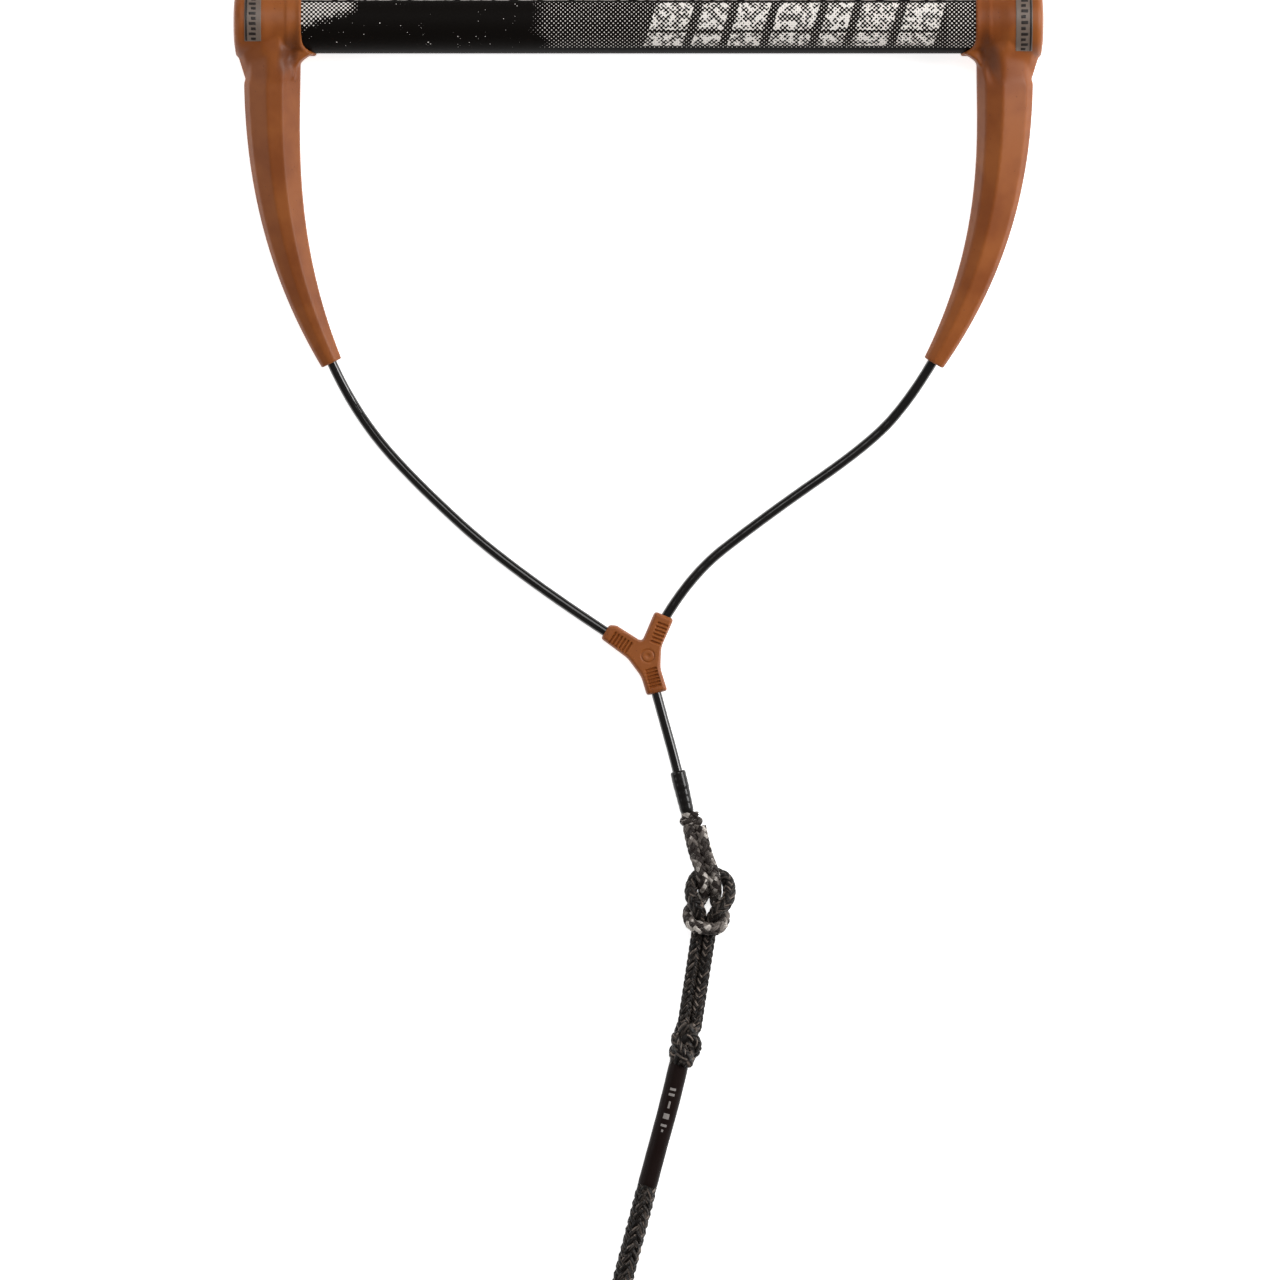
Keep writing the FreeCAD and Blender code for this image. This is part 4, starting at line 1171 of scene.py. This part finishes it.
class TOWHANDLE_OT_y_connector(PieceOperator, bpy.types.Operator):
    """The moulded Y connector, with grooved arms and a plain ring"""

    bl_idname = "towhandle.y_connector"
    bl_label = "Y connector"

    def build(self, sizes):
        outline = rounded_outline(YOKE_OUTLINE)
        half = sizes.yoke / 2
        middle = Vector((*YOKE_CENTRE, FLOOR + half))
        layers = []
        for share, inset in YOKE_LAYERS:
            ring = inset_outline(outline, inset)
            layers.append([(*(point * MM), half * share) for point in ring])
        points = np.concatenate([np.array(layer) for layer in layers])
        plate = new_piece("y_connector_plate", points, ring_faces(len(layers), len(outline)), moulding())
        recalculate(plate)
        merged(plate, 0.00026)
        mesh = plate.data
        co = relax(mesh_points(mesh), mesh_edges(mesh), 0.5, 5)
        depth = groove_depth(co[:, :2] / MM) * MM
        face = np.clip((np.abs(co[:, 2]) - half * 0.8) / (half * 0.12), 0, 1)
        co[:, 2] -= np.sign(co[:, 2]) * depth * face
        co = relax(co, mesh_edges(mesh), 0.3, 1)
        co += np.array(middle)
        mesh.vertices.foreach_set("co", co.ravel())
        last, first = slice(-28, None), slice(None, 28)
        ends = ((BRIDLE["left"], last), (BRIDLE["right"], last), (TAIL, first))
        cutters = [tube_cutter("bore", read_line(points, 0.001)[part], sizes.line / 2 + 0.00012)
                   for points, part in ends]
        cut(plate, cutters)
        smooth(plate.data, 40)
        if not plate.data.materials:
            plate.data.materials.append(moulding())
        ride_as(plate, "bridle", "moulding", "y_connector")


def inset_outline(outline, inset):
    """The outline moved inwards, in the outline's own unit."""
    count = len(outline)
    moved = []
    turned = sum(a.x * b.y - b.x * a.y for a, b in zip(outline, outline[1:] + outline[:1]))
    for k, point in enumerate(outline):
        along = outline[(k + 1) % count] - outline[k - 1]
        normal = Vector((-along.y, along.x)).normalized() * (1 if turned > 0 else -1)
        moved.append(point + normal * inset)
    return moved


# ---------------------------------------------------------------- the lines

# Points on each cord that crosses a joint, where it would start and stop bending. Nothing in this script bends
# the cords with them.
JOINT_SPANS = {
    "left": ((-0.1436, -0.1600, -0.0121), (-0.1215, -0.1985, -0.0143)),
    "right": ((0.1394, -0.1600, -0.0121), (0.1175, -0.1890, -0.0142)),
}


class TOWHANDLE_OT_bridle_lines(PieceOperator, bpy.types.Operator):
    """The coated lines from the collars to the Y connector, and on to the shrunk sleeve"""

    bl_idname = "towhandle.bridle_lines"
    bl_label = "Bridle lines"

    def build(self, sizes):
        for word in WORDS:
            line = read_line(BRIDLE[word], 0.0012)
            cord = self.coated_line(f"bridle_line_{word}_coated", line, sizes.line)
            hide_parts(f"bridle_line_{word}")
            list(JOINT_SPANS[word])
            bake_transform(cord)
        line = read_line(TAIL, 0.001)
        cord = self.coated_line("tail_line_coated", line, sizes.line)
        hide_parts("tail_line")
        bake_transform(cord)

    def coated_line(self, name, line, diameter):
        gone = np.linspace(0, line_length(line), len(line)) / MM
        ripple = 1 + 0.006 * np.sin(gone * 0.9) + 0.005 * np.sin(gone * 0.37 + 1.0)
        cord = new_piece(name, skin(line, diameter / 2 * ripple, 20), ring_faces(len(line), 20), line_coating(),
                         sharp=50)
        return cord


class TOWHANDLE_OT_shrunk_sleeve(PieceOperator, bpy.types.Operator):
    """The shrunk sleeve over the end of the tail line"""

    bl_idname = "towhandle.shrunk_sleeve"
    bl_label = "Shrunk sleeve"

    def build(self, sizes):
        heading = (TAIL[-1] - TAIL[-2]).normalized()
        start = TAIL[-1] - heading * 0.0192
        count = 44
        line = np.array([start + heading * 0.0202 * k / (count - 1) for k in range(count)])
        share = np.linspace(0, 1, count)
        body = 0.00365 - 0.00045 * np.clip((share - 0.3) / 0.7, 0, 1)
        wrinkle = 1 + 0.012 * np.sin(share * 37) + 0.018 * np.exp(-((share - 0.33) / 0.05) ** 2)
        rim = 1 - 0.16 * np.exp(-share / 0.02) - 0.1 * np.exp(-(1 - share) / 0.02)
        outer = skin(line, body * wrinkle * rim, 32)
        inner = skin(line, sizes.line / 2 + 0.00008, 32)
        order = np.arange(count * 32).reshape(count, 32)[::-1].ravel()
        sleeve = new_piece("shrunk_sleeve", np.concatenate([outer, inner[order]]),
                           ring_faces(2 * count, 32, closed=True), shrunk_coating(), sharp=50)
        recalculate(sleeve)
        ride_as(sleeve, "tail", "shrink", "shrink_sleeve")


# ---------------------------------------------------------------- the eye and the hitch

class TOWHANDLE_OT_eye(PieceOperator, bpy.types.Operator):
    """The flecked eye loop, and the turns that whip its throat"""

    bl_idname = "towhandle.eye"
    bl_label = "Eye"

    def build(self, sizes):
        throat = placed([
            (3.3 * math.cos(angle), 3.1 - 6.0 * share, 1.55 * math.sin(angle))
            for share in np.linspace(0, 1, 22) for angle in (0.9 + share * 4.4 * math.pi,)],
            (24.9, -376.6, -13.2), 12.0)
        whipping = braid("eye_whipping", read_line(throat, 0.0004), 0.0042, flecked_braid(), carriers=4, seed=5)
        ride_as(whipping, "tail", "flecked_braid", "eye_throat")
        line = read_line(EYE_LOOP, 0.0004)
        loop = braid("eye_loop_braid", line, sizes.eye, flecked_braid(), seed=2, full=0.61)
        ride_as(loop, "tail", "flecked_braid", "eye_loop")


class TOWHANDLE_OT_main_loop(PieceOperator, bpy.types.Operator):
    """The doubled black loop that is hitched to the eye"""

    bl_idname = "towhandle.main_loop"
    bl_label = "Main loop"

    def build(self, sizes):
        line = read_line(MAIN_LOOP, 0.0005)
        loop = braid("main_loop_braid", line, sizes.strand, black_braid(), seed=3, full=0.6)
        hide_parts("main_loop")
        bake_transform(loop)


# ---------------------------------------------------------------- the rope

KNOTS = {
    "loop_knot": ((21.7, -482.6), 8.7),
    "far_knot": ((124.0, -733.0), 86.0),
}
KNOT_BRAID, KNOT_CORE = 0.0052, 0.0106
# A knot's turns, in millimetres: how far they lie from its middle and how much that changes, how long the knot
# is each way, and how flat it lies.
KNOT_OUT, KNOT_SWAY, KNOT_LONG, KNOT_FLAT = 3.5, 1.95, 4.7, 0.78
KNOT_CORE_ENDS = (10.4, 3.4, -3.0, -8.4)
KNOT_LIFT, KNOT_CORE_LIFT = 6.5, 5.6


class TOWHANDLE_OT_knots(PieceOperator, bpy.types.Operator):
    """The knots that tie off the two loops"""

    bl_idname = "towhandle.knots"
    bl_label = "Knots"

    def build(self, sizes):
        for number, (name, (centre, heading)) in enumerate(KNOTS.items()):
            turns = []
            for angle in np.linspace(0, 2 * math.pi, 49):
                out = KNOT_OUT + KNOT_SWAY * math.cos(3 * angle)
                along = KNOT_LONG * math.sin(3 * angle) + 0.4 * math.cos(angle)
                turns.append((out * math.cos(2 * angle), along, out * math.sin(2 * angle) * KNOT_FLAT))
            route = placed(turns, (*centre, FLOOR_MM + KNOT_LIFT), heading)
            knot = braid(f"{name}_braid", read_line(route, 0.0004), KNOT_BRAID, black_braid(), seed=7 + number)
            ride_as(knot, "mainline", "black_braid", name)
            through = placed([(0.0, along, 0.0) for along in KNOT_CORE_ENDS],
                             (*centre, FLOOR_MM + KNOT_CORE_LIFT), heading)
            core = braid(f"{name}_core", read_line(through, 0.0005), KNOT_CORE, black_braid(), seed=9 + number)
            ride_as(core, "mainline", "black_braid")


class TOWHANDLE_OT_rope(PieceOperator, bpy.types.Operator):
    """The black rope, from one knot through its coil to the other"""

    bl_idname = "towhandle.rope"
    bl_label = "Rope"

    def build(self, sizes):
        line = read_line(ROPE, 0.0018)
        sleeved = [line_length(read_line(points, 0.001)) / line_length(line)
                   for points in (SLEEVED, FAR_SLEEVED)]

        def under_sleeves(share):
            start = np.array([eased(s, sleeved[0] - 0.002, sleeved[0] + 0.002) for s in share])
            stop = np.array([eased(s, 1 - sleeved[1] - 0.002, 1 - sleeved[1] + 0.002) for s in share])
            return 0.76 + 0.24 * start * (1 - stop)

        rope = braid("rope_braid", line, sizes.rope, black_braid(), carriers=8, lay=33.0, seed=4,
                     swell=under_sleeves, full=0.525)
        ride_as(rope, "mainline", "black_braid", "sleeved_rope", "main_rope", "rope_coil", "rope_end",
                "far_sleeved_rope")


class TOWHANDLE_OT_label_sleeves(PieceOperator, bpy.types.Operator):
    """The shrunk label sleeves at both ends of the rope"""

    bl_idname = "towhandle.label_sleeves"
    bl_label = "Label sleeves"

    def build(self, sizes):
        sides = 48
        for name, route in (("label_sleeve", SLEEVED), ("far_label_sleeve", FAR_SLEEVED)):
            line = read_line(route, 0.0005)
            count = len(line)
            gone = np.linspace(0, line_length(line), count)
            angles = np.arange(sides) * 2 * math.pi / sides
            share = gone / gone[-1]
            wave, round_it = gone[:, None] / 0.0042, 6 * angles[None, :]
            plait = np.sin(wave + round_it) * np.sin(wave - round_it)
            radius = sizes.label / 2 * (1 + 0.010 * plait + 0.012 * np.sin(gone[:, None] / 0.009))
            rim = 1 - 0.05 * np.exp(-share / 0.012) - 0.05 * np.exp(-(1 - share) / 0.012)
            outer = skin(line, radius * rim[:, None], sides)
            inner = skin(line, sizes.label / 2 - 0.0006, sides)
            order = np.arange(count * sides).reshape(count, sides)[::-1].ravel()
            along = np.repeat(gone, sides) / MM
            across = np.tile((angles + math.pi) % (2 * math.pi) - math.pi, count) * sizes.label / 2 / MM
            layers = {"along": np.concatenate([along, along[order]]),
                      "across": np.concatenate([across, np.full(count * sides, 9.0)])}
            sleeve = new_piece(f"{name}_skin", np.concatenate([outer, inner[order]]),
                               ring_faces(2 * count, sides, closed=True), label_skin(), layers, sharp=50)
            recalculate(sleeve)
            ride_as(sleeve, "mainline", "label", name)


class TOWHANDLE_OT_far_loop(PieceOperator, bpy.types.Operator):
    """The loop at the rope's far end"""

    bl_idname = "towhandle.far_loop"
    bl_label = "Far loop"

    def build(self, sizes):
        line = read_line(FAR_LOOP, 0.0006)
        loop = braid("far_loop_braid", line, sizes.strand, black_braid(), seed=6)
        ride_as(loop, "mainline", "black_braid", "far_loop")


# ---------------------------------------------------------------- the stage

VIEW_WIDTH = 0.604
VIEW_CENTRE = Vector((0.0007, -0.2908, -0.008))
LENS, SENSOR = 300.0, 36.0
# Each light: its place, the size of its panel, and its power.
LIGHTS = {
    "light_right": ((1.7, 0.25, 0.95), 1.0, 31.0),
    "light_left": ((-1.7, -0.1, 1.0), 1.1, 7.0),
    "light_top": ((0.2, 0.9, 2.2), 1.4, 20.0),
}


class TOWHANDLE_OT_stage(PieceOperator, bpy.types.Operator):
    """The camera straight above, a pale floor and soft lights"""

    bl_idname = "towhandle.stage"
    bl_label = "Stage"

    def build(self, sizes):
        scene = bpy.context.scene
        camera = bpy.data.objects.new("camera", bpy.data.cameras.new("camera"))
        camera.data.lens = LENS
        camera.data.sensor_width = SENSOR
        camera.data.clip_end = 50.0
        camera.location = VIEW_CENTRE + Vector((0, 0, VIEW_WIDTH * LENS / SENSOR))
        scene.collection.objects.link(camera)
        scene.camera = camera
        floor_mesh = bpy.data.meshes.new("floor")
        reach = 12.0
        floor_mesh.from_pydata([(x * reach, y * reach, FLOOR) for x, y in ((-1, -1), (1, -1), (1, 1), (-1, 1))],
                               [], [(0, 1, 2, 3)])
        pale, graph, shader = new_material("pale_floor", 0.9, specular=0.1)
        tone = graph.noise(graph.millimetres(), 0.002)
        graph.feed(shader["Base Color"], graph.mix(tone, card(246, 246, 245), card(250, 250, 249)))
        shader["Emission Color"].default_value = (1, 1, 1, 1)
        shader["Emission Strength"].default_value = 0.8
        floor_mesh.materials.append(pale)
        floor = bpy.data.objects.new("floor", floor_mesh)
        scene.collection.objects.link(floor)
        for name, (place, size, power) in LIGHTS.items():
            panel = bpy.data.lights.new(name, "AREA")
            panel.shape = "SQUARE"
            panel.size = size
            panel.energy = power
            lamp = bpy.data.objects.new(name, panel)
            lamp.location = place
            lamp.rotation_euler = (VIEW_CENTRE - Vector(place)).to_track_quat("-Z", "Y").to_euler()
            lamp.visible_camera = False
            scene.collection.objects.link(lamp)
        world = bpy.data.worlds.new("studio")
        world.use_nodes = True
        world.node_tree.nodes["Background"].inputs["Color"].default_value = (1.0, 0.99, 0.98, 1.0)
        world.node_tree.nodes["Background"].inputs["Strength"].default_value = 0.16
        scene.world = world
        scene.view_settings.view_transform = "Standard"


OPERATORS = (
    TOWHANDLE_OT_stage, TOWHANDLE_OT_inner_parts, TOWHANDLE_OT_grip,
    TOWHANDLE_OT_end_fittings, TOWHANDLE_OT_badges, TOWHANDLE_OT_end_hardware,
    TOWHANDLE_OT_y_connector, TOWHANDLE_OT_shrunk_sleeve, TOWHANDLE_OT_bridle_lines,
    TOWHANDLE_OT_eye, TOWHANDLE_OT_main_loop, TOWHANDLE_OT_knots,
    TOWHANDLE_OT_label_sleeves, TOWHANDLE_OT_rope, TOWHANDLE_OT_far_loop)


class TOWHANDLE_PT_panel(bpy.types.Panel):
    """The buttons that build the tow handle"""

    bl_idname = "TOWHANDLE_PT_panel"
    bl_label = "Tow handle"
    bl_space_type = "VIEW_3D"
    bl_region_type = "UI"
    bl_category = "Tow handle"

    def draw(self, context):
        for group in (context.scene.tow_handle_sizes, context.scene.tow_handle_colours):
            box = self.layout.box()
            for name in group.__annotations__:
                box.prop(group, name)
        for operator in OPERATORS:
            self.layout.operator(operator.bl_idname)


CLASSES = (TowHandleSizes, TowHandleColours, *OPERATORS, TOWHANDLE_PT_panel)


def register():
    for cls in CLASSES:
        bpy.utils.register_class(cls)
    bpy.types.Scene.tow_handle_sizes = bpy.props.PointerProperty(type=TowHandleSizes)
    bpy.types.Scene.tow_handle_colours = bpy.props.PointerProperty(type=TowHandleColours)


def unregister():
    del bpy.types.Scene.tow_handle_colours
    del bpy.types.Scene.tow_handle_sizes
    for cls in reversed(CLASSES):
        bpy.utils.unregister_class(cls)


def main():
    register()
    for operator in OPERATORS:
        group, name = operator.bl_idname.split(".")
        getattr(getattr(bpy.ops, group), name)()


if __name__ == "__main__":
    main()
